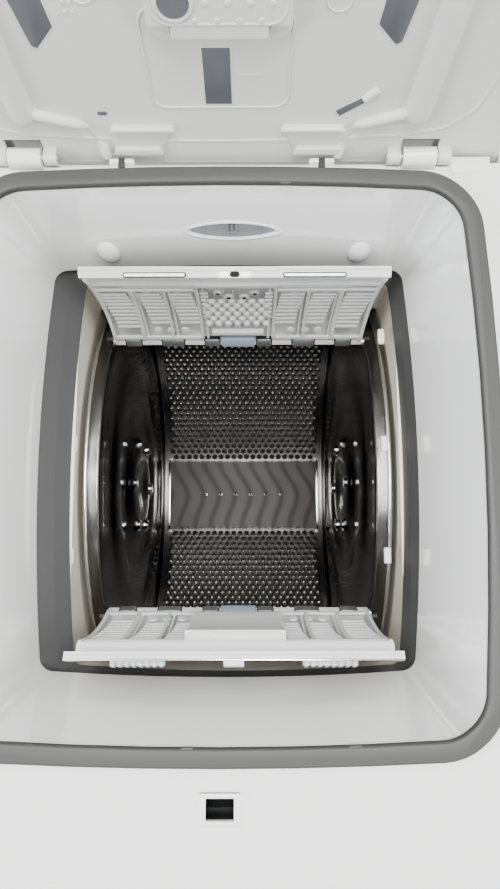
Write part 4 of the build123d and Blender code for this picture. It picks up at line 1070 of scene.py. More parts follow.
@dataclass
class Loading:
    """The rubber bellows, the tub round the drum and the water nozzle in the loading well."""

    bench: Bench
    mouth_half_x: float = 0.1455
    wall_foot_y: float = 0.1535
    wall_foot_z: float = 0.740
    wall_height: float = 0.122
    wall_lean: float = 0.0046
    eye_x: float = 0.005
    eye_z: float = 0.8015

    def wall(self, z: float) -> float:
        """How far back the well's rear wall is at a height.

        Args:
            z: The height.

        Returns:
            The wall's distance from the middle.
        """
        return self.wall_foot_y + (z - self.wall_foot_z) / self.wall_height * self.wall_lean

    def eye(self, across: float, up: float, out: float) -> list[Vector]:
        """The eye-shaped outline of the nozzle on the well's rear wall.

        Args:
            across: Half its width.
            up: Half its height.
            out: How far it stands off the wall.

        Returns:
            Its points.
        """
        points = []
        for side in (1, -1):
            for step in range(16):
                share = (step / 8 - 1) * side
                rise = up * (0.16 + 0.84 * (1 - abs(share) ** 2.2)) * side
                z = self.eye_z + rise
                points.append(Vector((self.eye_x + share * across, self.wall(z) - out, z)))
        return points

    def eye_tool(self, across: float, up: float) -> bpy.types.Object:
        """An eye-shaped cutter that goes through the rear wall's trim.

        Args:
            across: Half its width.
            up: Half its height.

        Returns:
            The cutter.
        """
        line = [point - Vector((0, 0.01, 0)) for point in self.eye(across, up, 0.0)]
        return self.bench.plate(line, Vector((0, 0.03, 0)))

    def build_nozzle(self) -> None:
        """Flush surround, bevelled rim, pale insert and ribbed window of the water nozzle, with painted shade
        under the rim at the eye's upper corners.
        """
        corners = ((-0.0345, 0.7855), (0.0445, 0.7855), (0.0445, 0.8175), (-0.0345, 0.8175))
        field_line = [Vector((x, self.wall(z) - 0.0002, z)) for x, z in corners]
        surround = self.bench.plate(field_line, Vector((0, 0.0016, 0)))
        self.bench.cut(surround, self.eye_tool(0.036, 0.0128))
        self.bench.finish(surround, "nozzle_surround", "cabinet", WHITE)
        rim = self.bench.plate(self.eye(0.0415, 0.0150, 0.0010), Vector((0, 0.0022, 0)), 0.0007, 3)
        self.bench.cut(rim, self.eye_tool(0.0385, 0.0128))
        self.bench.finish(rim, "nozzle_rim", "cabinet", WHITE)
        insert = self.bench.plate(self.eye(0.0400, 0.0136, -0.0016), Vector((0, 0.0012, 0)), 0.0002, 1)
        self.bench.finish(insert, "nozzle_insert", "cabinet", INSERT)
        here = Vector((self.eye_x, self.wall(self.eye_z), self.eye_z))
        # Dark middle of the window, and slabs of painted shade at the eye's upper corners.
        shade = [self.bench.block(here + Vector(low), here + Vector(high), 0.0003) for low, high in EYE_WINDOW_AND_SHADE]
        pale = [self.bench.block(here + Vector(low), here + Vector(high), 0.0003) for low, high in EYE_BARS]
        self.bench.finish(shade, "nozzle_window_and_shade", "cabinet", SLATE)
        self.bench.finish(pale, "nozzle_bars", "cabinet", INSERT)

    def build_well_bumps(self) -> None:
        """Rounded bosses over the screws in the well's rear wall."""
        bosses = []
        for x in (-0.101, 0.112):
            self.bench.clear()
            bpy.ops.mesh.primitive_uv_sphere_add(
                segments=28,
                ring_count=16,
                radius=1.0,
                location=(x, self.wall_foot_y, 0.768),
                scale=(0.0105, 0.0062, 0.019),
            )
            bosses.append(self.bench.settle(bpy.context.object))
        self.bench.finish(bosses, "well_screw_bosses", "cabinet", WHITE, 80)

    def build_mouth_trim(self) -> None:
        """Small locating tabs on the tub's moulded ledges beside the mouth."""
        tabs = []
        for side in (-1, 1):
            x = side * (self.mouth_half_x - 0.002)
            for y in (-0.004, -0.104, 0.096):
                near, far = sorted((x, x - side * 0.006))
                tabs.append(self.bench.block((near, y - 0.007, 0.7085), (far, y + 0.007, 0.7135), 0.0012))
        self.bench.finish(tabs, "tub_mouth_tabs", "cabinet", CREAM)

    def build_clamp(self) -> None:
        """Tension spring of the wire clamp that holds the bellows on the tub."""
        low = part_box("bellows")[0]
        start, end = (Vector((x, low.y - 0.0005, low.z + 0.004)) for x in (-0.030, 0.030))
        spring = self.bench.coil(start, end, 0.0022, 0.0006, 16)
        self.bench.finish(spring, "bellows_clamp_spring", "cabinet", CHROME)

    def build(self) -> None:
        """Build and dress the loading parts."""
        self.bench.dress(BELLOWS, "bellows")
        self.bench.dress(SLATE, "water_nozzle")
        self.bench.dress(CREAM, "tub_left", "tub_right")
        self.bench.dress(ALUMINIUM, "bearings_and_seals")
        self.bench.dress(IRON, "counterweights")
        self.bench.dress(ZINC, "suspension_springs", "heater_and_probe")
        self.bench.dress(GREY, "tub_dampers")
        self.build_nozzle()
        self.build_well_bumps()
        self.build_mouth_trim()
        self.build_clamp()


# ------------------------------------------------------------------ drum
def on_drum(x: float, radius: float, degrees: float) -> Vector:
    """A point on the drum.

    Args:
        x: Its distance from the drum's middle along its axis.
        radius: Its distance from the axis.
        degrees: Its angle about the axis, from the back upwards.

    Returns:
        The point.
    """
    angle = math.radians(degrees)
    return DRUM_AXIS + Vector((x, radius * math.cos(angle), radius * math.sin(angle)))


# Outline of the flange at a lifter's end: aside from its middle, and up from its crest.
LIFTER_END = (
    (-0.060, -0.024),
    (-0.058, -0.018),
    (-0.056, -0.008),
    (-0.051, -0.002),
    (0.0, 0.0),
    (0.051, -0.002),
    (0.056, -0.008),
    (0.058, -0.018),
    (0.060, -0.024),
)


# Drawn profile of an end disc in millimetres: distance from the axis, and rise towards the laundry.
END_RELIEF = (
    (0.0, 7.0),
    (16.0, 7.0),
    (22.0, 10.0),
    (52.0, 9.0),
    (66.0, 6.5),
    (74.0, 2.5),
    (80.0, 0.6),
    (94.0, 0.6),
    (101.0, 2.6),
    (108.0, 5.0),
    (146.0, 5.0),
    (153.0, 2.6),
    (160.0, 0.8),
    (188.0, 0.8),
    (195.0, 2.4),
    (202.0, 4.6),
    (220.0, 4.6),
    (226.0, 2.0),
    (233.0, 0.3),
)


@dataclass
class Drum:
    """Stainless steel drum: perforated shell, drawn ends, lifters, rims and hinge hardware."""

    bench: Bench
    radius: float = 0.234
    half: float = 0.129
    pitch: float = 0.0106
    holes_across: int = 23
    row_degrees: float = 2.25
    lifter_degrees: tuple[float, ...] = (-90.0, 30.0, 150.0)
    lifter_room: float = 14.6
    lifter_height: float = 0.027
    opening_degrees: float = 38.8
    end_face: float = 0.1368
    hub_face: float = 0.0078
    bolt_circle: float = 0.058

    def build_dimple(self, x: float) -> bpy.types.Object:
        """One drawn hole: a raised lip round an opening whose floor is drawn black as painted shade, at the
        bottom of the shell.

        Args:
            x: Its place along the axis.

        Returns:
            The piece, in steel, with the opening's painted shade as its second material.
        """
        floor = DRUM_Z - self.radius
        middle = (DRUM_X + x, DRUM_Y, floor)
        start = (DRUM_X + x, DRUM_Y, floor + 0.00005)
        self.bench.clear()
        bpy.ops.mesh.primitive_circle_add(
            vertices=8, radius=self.pitch * 0.47, fill_type="NGON", location=start
        )
        piece = bpy.context.object
        bpy.ops.object.mode_set(mode="EDIT")
        bpy.ops.mesh.select_all(action="SELECT")
        for shrink, rise in ((0.66, 0.0019), (0.74, 0.0004), (0.80, -0.0012)):
            bpy.ops.mesh.extrude_region_move(TRANSFORM_OT_translate={"value": (0, 0, rise)})
            bpy.ops.transform.resize(value=(shrink, shrink, 1.0), center_override=middle)
        bpy.ops.object.mode_set(mode="OBJECT")
        self.bench.settle(piece)
        piece.data.materials.append(DRUM_STEEL.material())
        piece.data.materials.append(HOLE_SHADOW.material())
        # The sunk floor of each dimple gets the black of painted shade that stands for the hole.
        for face in piece.data.polygons:
            deep = face.center.z < floor + 0.0012 and abs(face.normal.z) > 0.9
            face.material_index = 1 if deep else 0
        return piece

    def build_rows(self, staggered: bool) -> bpy.types.Object:
        """One row of holes across the shell.

        Args:
            staggered: Whether it is set half a pitch aside.

        Returns:
            The row.
        """
        count = self.holes_across - (1 if staggered else 0)
        first = self.build_dimple(-self.pitch * (count - 1) / 2)
        repeat = first.modifiers.new("row", "ARRAY")
        repeat.use_relative_offset = False
        repeat.use_constant_offset = True
        repeat.constant_offset_displace = (self.pitch, 0, 0)
        repeat.count = count
        self.bench.hold(first)
        bpy.ops.object.modifier_apply(modifier=repeat.name)
        return first

    def build_perforation(self) -> None:
        """Staggered rows of drawn holes all round the shell, apart from the lifters and the opening."""
        plain = self.build_rows(False)
        aside = self.build_rows(True)
        made = []
        steps = int(360 / self.row_degrees)
        for step in range(steps):
            angle = -90 + step * self.row_degrees
            from_top = abs((angle - 90 + 180) % 360 - 180)
            from_lifter = min(abs((angle - place + 180) % 360 - 180) for place in self.lifter_degrees)
            if from_top < self.opening_degrees + 1.0 or from_lifter < self.lifter_room:
                continue
            source = aside if step % 2 else plain
            self.bench.hold(source)
            bpy.ops.object.duplicate(linked=False)
            turn = Matrix.Translation(DRUM_AXIS) @ Matrix.Rotation(math.radians(angle + 90), 4, "X")
            made.append(self.bench.moved(bpy.context.object, turn @ Matrix.Translation(-DRUM_AXIS)))
        bpy.data.objects.remove(plain)
        bpy.data.objects.remove(aside)
        whole = self.bench.join(made)
        whole.name = "drum_perforation"
        whole.data.name = whole.name
        self.bench.hold(whole)
        bpy.ops.object.shade_smooth_by_angle(angle=math.radians(30))
        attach(whole, "drum")
        log.info("drum_perforation: %d faces", len(whole.data.polygons))

    def build_ends(self) -> None:
        """Drawn rings and hub of both end discs, with the hub's bolts."""
        for side, word in ((-1, "left"), (1, "right")):
            face = DRUM_X + side * self.end_face
            line = [Vector((face - side * rise * MM, DRUM_Y, DRUM_Z + out * MM)) for out, rise in END_RELIEF]
            disc = self.bench.spun(line, False, ALONG_X, DRUM_AXIS, steps=96)
            self.aim(disc, Vector((-side, 0, 0)))
            self.bench.finish(disc, f"drum_end_{word}", "drum", END_STEEL, 50)
            bolts = []
            for step in range(6):
                head = on_drum(side * (self.end_face - self.hub_face), self.bolt_circle, 30 + step * 60)
                tip = head - Vector((side * 0.0040, 0, 0))
                bolts.append(self.bench.soften(self.bench.rod(head, tip, 0.0065, 6), 0.0006, 2))
                bolts.append(self.bench.rod(head, head - Vector((side * 0.0018, 0, 0)), 0.0088, 24))
            self.bench.finish(bolts, f"hub_bolts_{word}", "drum", CHROME)

    def aim(self, piece: bpy.types.Object, way: Vector) -> None:
        """Turn an open sheet so that its faces look one way.

        Args:
            piece: The sheet.
            way: Where most of its faces should look.
        """
        total = sum((face.normal * face.area for face in piece.data.polygons), Vector())
        if total.dot(way) < 0:
            self.bench.hold(piece)
            bpy.ops.object.mode_set(mode="EDIT")
            bpy.ops.mesh.select_all(action="SELECT")
            bpy.ops.mesh.flip_normals()
            bpy.ops.object.mode_set(mode="OBJECT")

    def build_rims(self) -> None:
        """Rolled bead along each rim, where shell and end disc are seamed together."""
        for side, word in ((-1, "left"), (1, "right")):
            beads = []
            for place, out, thick in ((0.1425, 0.2335, 0.0022), (0.1325, 0.2320, 0.0016)):
                middle = Vector((DRUM_X + side * place, DRUM_Y, DRUM_Z + out))
                turns = [math.tau * step / 10 for step in range(10)]
                ring = [middle + Vector((math.cos(a), 0, math.sin(a))) * thick for a in turns]
                beads.append(self.bench.spun(ring, True, ALONG_X, DRUM_AXIS, steps=120))
            self.bench.finish(beads, f"drum_rim_{word}", "drum", CHROME, 60)

    def build_lifter_trim(self) -> None:
        """Drain holes along each lifter's crest, drawn as black discs of painted shade, and the rolled
        flanges at its ends.
        """
        crest = self.radius - self.lifter_height
        hole_shades, rings, ends = [], [], []
        for place in self.lifter_degrees:
            inward = (DRUM_AXIS - on_drum(0, crest, place)).normalized()
            for step in range(6):
                spot = on_drum(-0.0608 + step * 0.0243, crest, place)
                # Black discs in the drain holes: painted shade.
                hole_shades.append(self.bench.rod(spot, spot + inward * 0.0003, 0.0018, 12))
                rings.append(self.bench.rod(spot, spot + inward * 0.00025, 0.0030, 16, 0.0024))
            for side in (-1, 1):
                near = on_drum(side * 0.1185, crest + 0.003, place)
                across = ALONG_X.cross(inward)
                points = []
                for wide, up in LIFTER_END:
                    points.append(near + across * wide + inward * up)
                strip = self.bench.pen(points, False)
                wide = Vector((side * 0.0042, 0, 0))
                bpy.ops.mesh.extrude_region_move(TRANSFORM_OT_translate={"value": wide})
                bpy.ops.object.mode_set(mode="OBJECT")
                self.bench.settle(strip)
                thick = strip.modifiers.new("sheet", "SOLIDIFY")
                thick.thickness = 0.0014
                thick.offset = 0.0
                self.bench.hold(strip)
                bpy.ops.object.modifier_apply(modifier=thick.name)
                ends.append(self.bench.soften(self.bench.tidy(strip), 0.0005, 2))
        self.bench.finish(rings, "lifter_hole_lips", "drum", POLISHED)
        self.bench.finish(hole_shades, "lifter_drain_hole_shade", "drum", HOLE_SHADOW)
        self.bench.finish(ends, "lifter_end_flanges", "drum", POLISHED)

    def build_springs(self) -> None:
        """Closing springs wound round the ends of the flap hinge pins."""
        coils = []
        for degrees in (90 - PIN_DEGREES, 90 + PIN_DEGREES):
            for side in (-1, 1):
                start = on_drum(side * 0.1262, PIN_RADIUS, degrees)
                end = on_drum(side * 0.1362, PIN_RADIUS, degrees)
                coils.append(self.bench.coil(start, end, 0.0046, 0.00085, 6))
        self.bench.finish(coils, "flap_closing_springs", "drum", CHROME)

    def build(self) -> None:
        """Build and dress the drum."""
        self.bench.dress(DRUM_STEEL, "drum_shell")
        self.bench.dress(END_STEEL, "drum_ends")
        self.bench.dress(SHADED_LIFTER_STEEL, "lifters")
        self.bench.dress(ZINC, "stub_shafts")
        self.bench.dress(CHROME, "flap_hinge_pins", "flap_clips_and_springs")
        self.bench.dress(BLUE_GREY, "flap_dampers")
        self.bench.dress(ALUMINIUM, "drum_pulley")
        self.build_perforation()
        self.build_ends()
        self.build_rims()
        self.build_lifter_trim()
        self.build_springs()


# ------------------------------------------------------------------ flaps
@dataclass
class FlapSide:
    """Which flap is being modelled and how it opens."""

    body: str
    word: str
    side: int
    open_degrees: float

    def pin(self) -> Vector:
        """A point on the flap's hinge pin.

        Returns:
            The point.
        """
        return on_drum(0, PIN_RADIUS, 90 - self.side * PIN_DEGREES)

    def opened(self) -> Matrix:
        """The move from the shut flap to the open one.

        Returns:
            The move.
        """
        turn = Matrix.Rotation(math.radians(-self.side * self.open_degrees), 4, "X")
        return Matrix.Translation(self.pin()) @ turn @ Matrix.Translation(-self.pin())


# Frame lines of a flap's half: near and far side, rise, angles from the middle, rounding.
FRAME_LINES = (
    (0.0914, 0.0956, 0.0022, (8.0, 31.5), 0.0007),
    (0.0630, 0.0660, 0.0022, (8.0, 31.5), 0.0007),
    (0.0335, 0.0365, 0.0020, (8.0, 32.0), 0.0006),
    (0.0365, 0.1240, 0.0028, (7.2, 8.4), 0.0006),
    (0.0365, 0.1240, 0.0016, (31.2, 32.4), 0.0005),
)
# Bars along the rear flap's free edge: half width, foot and rise, angles, rounding.
REAR_EDGE = (
    (0.125, (0.0062, 0.0026), (-4.0, -2.7), 0.0008),
    (0.125, (0.0062, -0.0036), (-4.28, -3.9), 0.0006),
    (0.034, (0.0062, -0.0026), (-4.30, -3.9), 0.0006),
    (0.125, (0.0008, 0.0024), (3.6, 4.9), 0.0008),
    (0.036, (0.0008, 0.0036), (3.3, 5.4), 0.0009),
    (0.100, (0.0008, 0.0020), (5.4, 6.6), 0.0007),
)
# Near and far side of each hinge clip on a flap's half.
CLIP_SPANS = ((0.0190, 0.0335), (0.0550, 0.0770), (0.0985, 0.1140))


@dataclass
class Flaps:
    """Both drum flaps: ribbed inner faces, latch parts and trim."""

    bench: Bench
    rear: FlapSide = field(default_factory=lambda: FlapSide("rear_flap", "rear", 1, 80.0))
    front: FlapSide = field(default_factory=lambda: FlapSide("front_flap", "front", -1, 77.0))
    inner: float = 0.221
    half: float = 0.125

    def arc_block(
        self,
        flap: FlapSide,
        across: Pair,
        radii: Pair,
        angles: Pair,
        rounding: float = 0.0006,
    ) -> bpy.types.Object:
        """A body that follows the shut flap's curve.

        Args:
            flap: The flap.
            across: Its two sides along the drum's axis.
            radii: Its distances from the axis.
            angles: Its start and end, in degrees from the middle towards the hinge.
            rounding: The edges' rounding.

        Returns:
            The piece, in its shut place.
        """
        start, end = (90 - flap.side * angle for angle in angles)
        corners = [(across[0], radii[0]), (across[1], radii[0]), (across[1], radii[1]), (across[0], radii[1])]
        points = [on_drum(x, radius, start) for x, radius in corners]
        steps = max(2, int(abs(end - start) / 2.5))
        piece = self.bench.spun(points, True, ALONG_X, DRUM_AXIS, end - start, steps)
        return self.bench.soften(piece, rounding, 2)

    def rib(
        self,
        flap: FlapSide,
        across: Pair,
        rise: Pair,
        angles: Pair,
        rounding: float = 0.0006,
    ) -> bpy.types.Object:
        """A rib on the shut flap's inner face.

        Args:
            flap: The flap.
            across: Its two sides along the drum's axis, in either order.
            rise: How deep its foot lies in the face and how far its top stands off it.
            angles: Its start and end, in degrees from the middle towards the hinge.
            rounding: The edges' rounding.

        Returns:
            The piece, in its shut place.
        """
        radii = (self.inner + rise[0], self.inner - rise[1])
        return self.arc_block(flap, (min(across), max(across)), radii, angles, rounding)

    def disc(
        self, flap: FlapSide, place: Pair, rise: Pair, radii: Pair, sides: int = 16
    ) -> bpy.types.Object:
        """A round boss on the shut flap's inner face.

        Args:
            flap: The flap.
            place: Its distance along the axis and its angle from the middle.
            rise: How deep its foot lies in the face and how far its top stands off it.
            radii: Its own radius at the foot and at the top.
            sides: How many sides it has.

        Returns:
            The piece, in its shut place.
        """
        x, angle = place
        turn = 90 - flap.side * angle
        foot, top = on_drum(x, self.inner + rise[0], turn), on_drum(x, self.inner - rise[1], turn)
        return self.bench.rod(foot, top, radii[0], sides, radii[1])

    def mount(self, flap: FlapSide, pieces: list[bpy.types.Object], name: str, look: Finish) -> None:
        """Join pieces, open them with their flap and finish them.

        Args:
            flap: The flap.
            pieces: The pieces, in their shut places.
            name: The joined piece's name.
            look: Its finish.
        """
        whole = self.bench.moved(self.bench.join(pieces), flap.opened())
        self.bench.finish(whole, name, flap.body, look)

    def build_ribs(self, flap: FlapSide) -> None:
        """Raised frame lines and the panels of cross ribs on both halves of a flap.

        Args:
            flap: The flap.
        """
        start = -1.0 if flap.side > 0 else 5.0
        parts = []
        for side in (-1, 1):
            for low, high, count in ((0.098, 0.123, 10), (0.068, 0.089, 9), (0.040, 0.061, 9)):
                for step in range(count):
                    angle = 11.0 + step * 1.75
                    lean = 0.0007 * step
                    across = (side * (low - lean), side * (high - lean))
                    parts.append(self.rib(flap, across, (0.0006, 0.0016), (angle, angle + 0.85), 0.0003))
            for low, high, rise, angles, rounding in FRAME_LINES:
                parts.append(self.rib(flap, (side * low, side * high), (0.0006, rise), angles, rounding))
            for x in (0.052, 0.066, 0.079):
                for angle in (9.6, 29.0):
                    parts.append(self.disc(flap, (side * x, angle), (0.0005, 0.0009), (0.0042, 0.0036)))
            across = (side * 0.1215, side * self.half)
            parts.append(self.rib(flap, across, (0.0006, 0.0030), (start, 33.0), 0.0010))
        self.mount(flap, parts, f"{flap.word}_flap_ribs", FLAP_WHITE)

    def build_rear_centre(self) -> None:
        """Studs, strainer holes drawn as black discs of painted shade, and cross bar in the middle of the
        rear flap.
        """
        flap = self.rear
        studs, holes = [], []
        for row in range(6):
            count = 7 if row % 2 else 6
            for step in range(count):
                place = ((step - (count - 1) / 2) * 0.0092, 15.6 + row * 2.1)
                studs.append(self.disc(flap, place, (0.0005, 0.0024), (0.0041, 0.0022), 10))
        for place in ((-0.0165, 10.6), (-0.0070, 12.9), (0.0070, 12.9), (0.0165, 10.6)):
            studs.append(self.disc(flap, place, (0.0005, 0.0016), (0.0042, 0.0036)))
            # Black discs in the strainer holes: painted shade.
            holes.append(self.disc(flap, place, (0.0, 0.0018), (0.0023, 0.0021)))
        for x in (-0.003, 0.003, -0.0115, 0.0115):
            studs.append(self.rib(flap, (x - 0.0005, x + 0.0005), (0.0005, 0.0010), (9.0, 14.6), 0.0))
        studs.append(self.rib(flap, (-0.0255, 0.0255), (0.0005, 0.0044), (28.4, 29.9), 0.0009))
        for side in (-1, 1):
            for step in range(7):
                angle = 10.5 + step * 2.0
                across = (side * 0.0255, side * 0.0325)
                studs.append(self.rib(flap, across, (0.0005, 0.0014), (angle, angle + 0.8), 0.0003))
        self.mount(flap, studs, "rear_flap_studs", FLAP_WHITE)
        self.mount(flap, holes, "rear_flap_strainer_hole_shade", HOLE_SHADOW)

    def slot(
        self, flap: FlapSide, across: Pair, radii: Pair, angle: float, depth: float
    ) -> bpy.types.Object:
        """A round-ended slab on the shut flap's free edge.

        Args:
            flap: The flap.
            across: Its two ends along the drum's axis.
            radii: Its distances from the axis.
            angle: The edge's angle from the middle.
            depth: How far it stands out of the edge.

        Returns:
            The piece, in its shut place.
        """
        place = 90 - flap.side * angle
        turn = math.radians(place)
        half = (radii[1] - radii[0]) / 2
        points = []
        for end, start in ((across[1] - half, -90), (across[0] + half, 90)):
            for step in range(9):
                bend = math.radians(start + step * 22.5)
                x = end + half * math.cos(bend)
                points.append(on_drum(x, radii[0] + half + half * math.sin(bend), place))
        along = Vector((0, -math.sin(turn), math.cos(turn))) * flap.side * depth
        return self.bench.plate(points, along)

    def build_rear_edge(self) -> None:
        """Free edge of the rear flap with its raised grip, slots and latch window."""
        flap = self.rear
        skin = self.inner
        edge = [self.rib(flap, (-half, half), rise, angles, edges) for half, rise, angles, edges in REAR_EDGE]
        self.mount(flap, edge, "rear_flap_edge", FLAP_WHITE)
        frames, chrome, dark = [], [], []
        for side in (-1, 1):
            near, far = sorted((side * 0.0385, side * 0.0895))
            dark.append(self.slot(flap, (near, far), (skin - 0.0024, skin + 0.0018), -4.0, 0.0003))
            near, far = near + 0.0012, far - 0.0012
            chrome.append(self.slot(flap, (near, far), (skin - 0.0014, skin + 0.0008), -4.0, 0.0007))
            near, far = sorted((side * 0.0042, side * 0.0122))
            chrome.append(self.slot(flap, (near, far), (skin - 0.0018, skin + 0.0020), -4.0, 0.0006))
        frames.append(self.slot(flap, (-0.0152, 0.0152), (skin - 0.0028, skin + 0.0034), -4.0, 0.0004))
        dark.append(self.slot(flap, (-0.0040, 0.0040), (skin - 0.0022, skin + 0.0024), -4.0, 0.0006))
        self.mount(flap, chrome, "rear_flap_striker", ZINC)
        self.mount(flap, dark, "rear_flap_slot_shadow", HOLE_SHADOW)
        self.mount(flap, frames, "rear_flap_window_frame", CREAM)

    def build_hinge_row(self, flap: FlapSide) -> None:
        """Sheet clips and the middle damper along a flap's hinge edge, with slightly wider black slabs under
        the clips that paint the shade in the gap round each.

        Args:
            flap: The flap.
        """
        clips, gap_shades = [], []
        for side in (-1, 1):
            for span in CLIP_SPANS:
                near, far = sorted((side * span[0], side * span[1]))
                clips.append(self.rib(flap, (near, far), (0.003, 0.0014), (32.7, 35.4), 0.0012))
                # Black slabs round each clip: painted shade in the gap beside it.
                gap_shades.append(self.rib(flap, (near - 0.0009, far + 0.0009), (0.003, 0.0004), (32.4, 35.2), 0.0))
        damper = [self.rib(flap, (-0.0170, 0.0170), (0.003, 0.0018), (32.3, 35.5), 0.0014)]
        self.mount(flap, clips, f"{flap.word}_flap_hinge_clips", ZINC)
        self.mount(flap, gap_shades, f"{flap.word}_flap_hinge_gap_shades", HOLE_SHADOW)
        self.mount(flap, damper, f"{flap.word}_flap_hinge_damper", BLUE_GREY)

    def build_front_latch(self) -> None:
        """Rounded cover over the front flap's latch, its free edge and its catch teeth."""
        flap = self.front
        cover = [self.rib(flap, (-0.0405, 0.0405), (0.001, 0.0108), (4.6, 27.4), 0.0045)]
        self.bench.soften(cover[0], 0.0012, 3)
        self.mount(flap, cover, "front_latch_cover", FLAP_WHITE)
        whole = (-self.half, self.half)
        edge = [
            self.rib(flap, whole, (0.0125, -0.0090), (-4.3, -3.0), 0.0010),
            self.rib(flap, whole, (0.0070, 0.0020), (4.5, 5.5), 0.0010),
        ]
        self.mount(flap, edge, "front_flap_edge", FLAP_WHITE)
        teeth = []
        for centre in (-0.070, 0.070):
            for step in range(8):
                x = centre - 0.0175 + step * 0.005
                tooth = (x - 0.0016, x + 0.0016)
                teeth.append(self.rib(flap, tooth, (0.0182, -0.0140), (-5.6, -3.4), 0.0006))
            bar = (centre - 0.020, centre + 0.020)
            teeth.append(self.rib(flap, bar, (0.0172, -0.0138), (-4.9, -3.4), 0.0004))
        self.mount(flap, teeth, "front_flap_guides", CLEAR)
        tab = [self.rib(flap, (-0.0075, 0.0075), (0.0180, -0.0138), (-5.6, -3.4), 0.0008)]
        self.mount(flap, tab, "front_flap_catch", FLAP_WHITE)

    def build(self) -> None:
        """Build and dress both flaps."""
        self.bench.dress(FLAP_WHITE, "rear_flap_frame", "front_flap_frame")
        self.bench.dress(POLISHED, "rear_flap_skin", "front_flap_skin")
        self.bench.dress(GREY, "flap_latch_button")
        self.build_ribs(self.rear)
        self.build_ribs(self.front)
        self.build_hinge_row(self.rear)
        self.build_hinge_row(self.front)
        self.build_rear_centre()
        self.build_rear_edge()
        self.build_front_latch()


# ------------------------------------------------------------------ lid
# Line of a drip lip from its outer end to its inner end: across, up, rise.
LIP_ROUTE = (
    (0.1265, 0.0400, 0.0016),
    (0.1180, 0.0370, 0.0016),
    (0.1060, 0.0335, 0.0016),
    (0.0955, 0.0292, 0.0012),
    (0.0900, 0.0250, -0.0031),
    (0.0845, 0.0160, -0.0031),
    (0.0828, 0.0105, -0.0031),
    (0.0822, 0.0065, 0.0008),
    (0.0812, 0.0, 0.0008),
)
# Cross ridges of a drip web: low, high, near and far.
WEB_RIDGES = ((0.0238, 0.0270, 0.0350, 0.0790), (0.0030, 0.0092, 0.0450, 0.0800))
# Outline of a drip web: across from the webs' middle, and up.
WEB_OUTLINE = (
    (0.0790, 0.0040),
    (0.0800, 0.0222),
    (0.0362, 0.0225),
    (0.0395, 0.0185),
    (0.0418, 0.0130),
    (0.0450, 0.0060),
    (0.0485, 0.0045),
)
# Right half of the stepped border of the inner face: across and up.
BORDER = (
    (0.175, 0.3000),
    (0.174, 0.1200),
    (0.172, 0.0660),
    (0.166, 0.0400),
    (0.150, 0.0235),
    (0.127, 0.0180),
    (0.085, 0.0150),
    (0.040, 0.0130),
    (0.0, 0.0125),
)


# Outlines of the slate windows in the inner face: across and up.
WINDOWS = (
    ((-0.0087, 0.0445), (0.0080, 0.0445), (0.0080, 0.0850), (-0.0087, 0.0850)),
    ((0.1035, 0.0868), (0.1068, 0.0885), (0.1165, 0.1560), (0.0960, 0.1560), (0.0915, 0.0995)),
    ((-0.1035, 0.0850), (-0.0908, 0.0985), (-0.0965, 0.1560), (-0.1165, 0.1560), (-0.1065, 0.0865)),
    ((0.0750, 0.0385), (0.0778, 0.0342), (0.0932, 0.0452), (0.0903, 0.0490)),
)


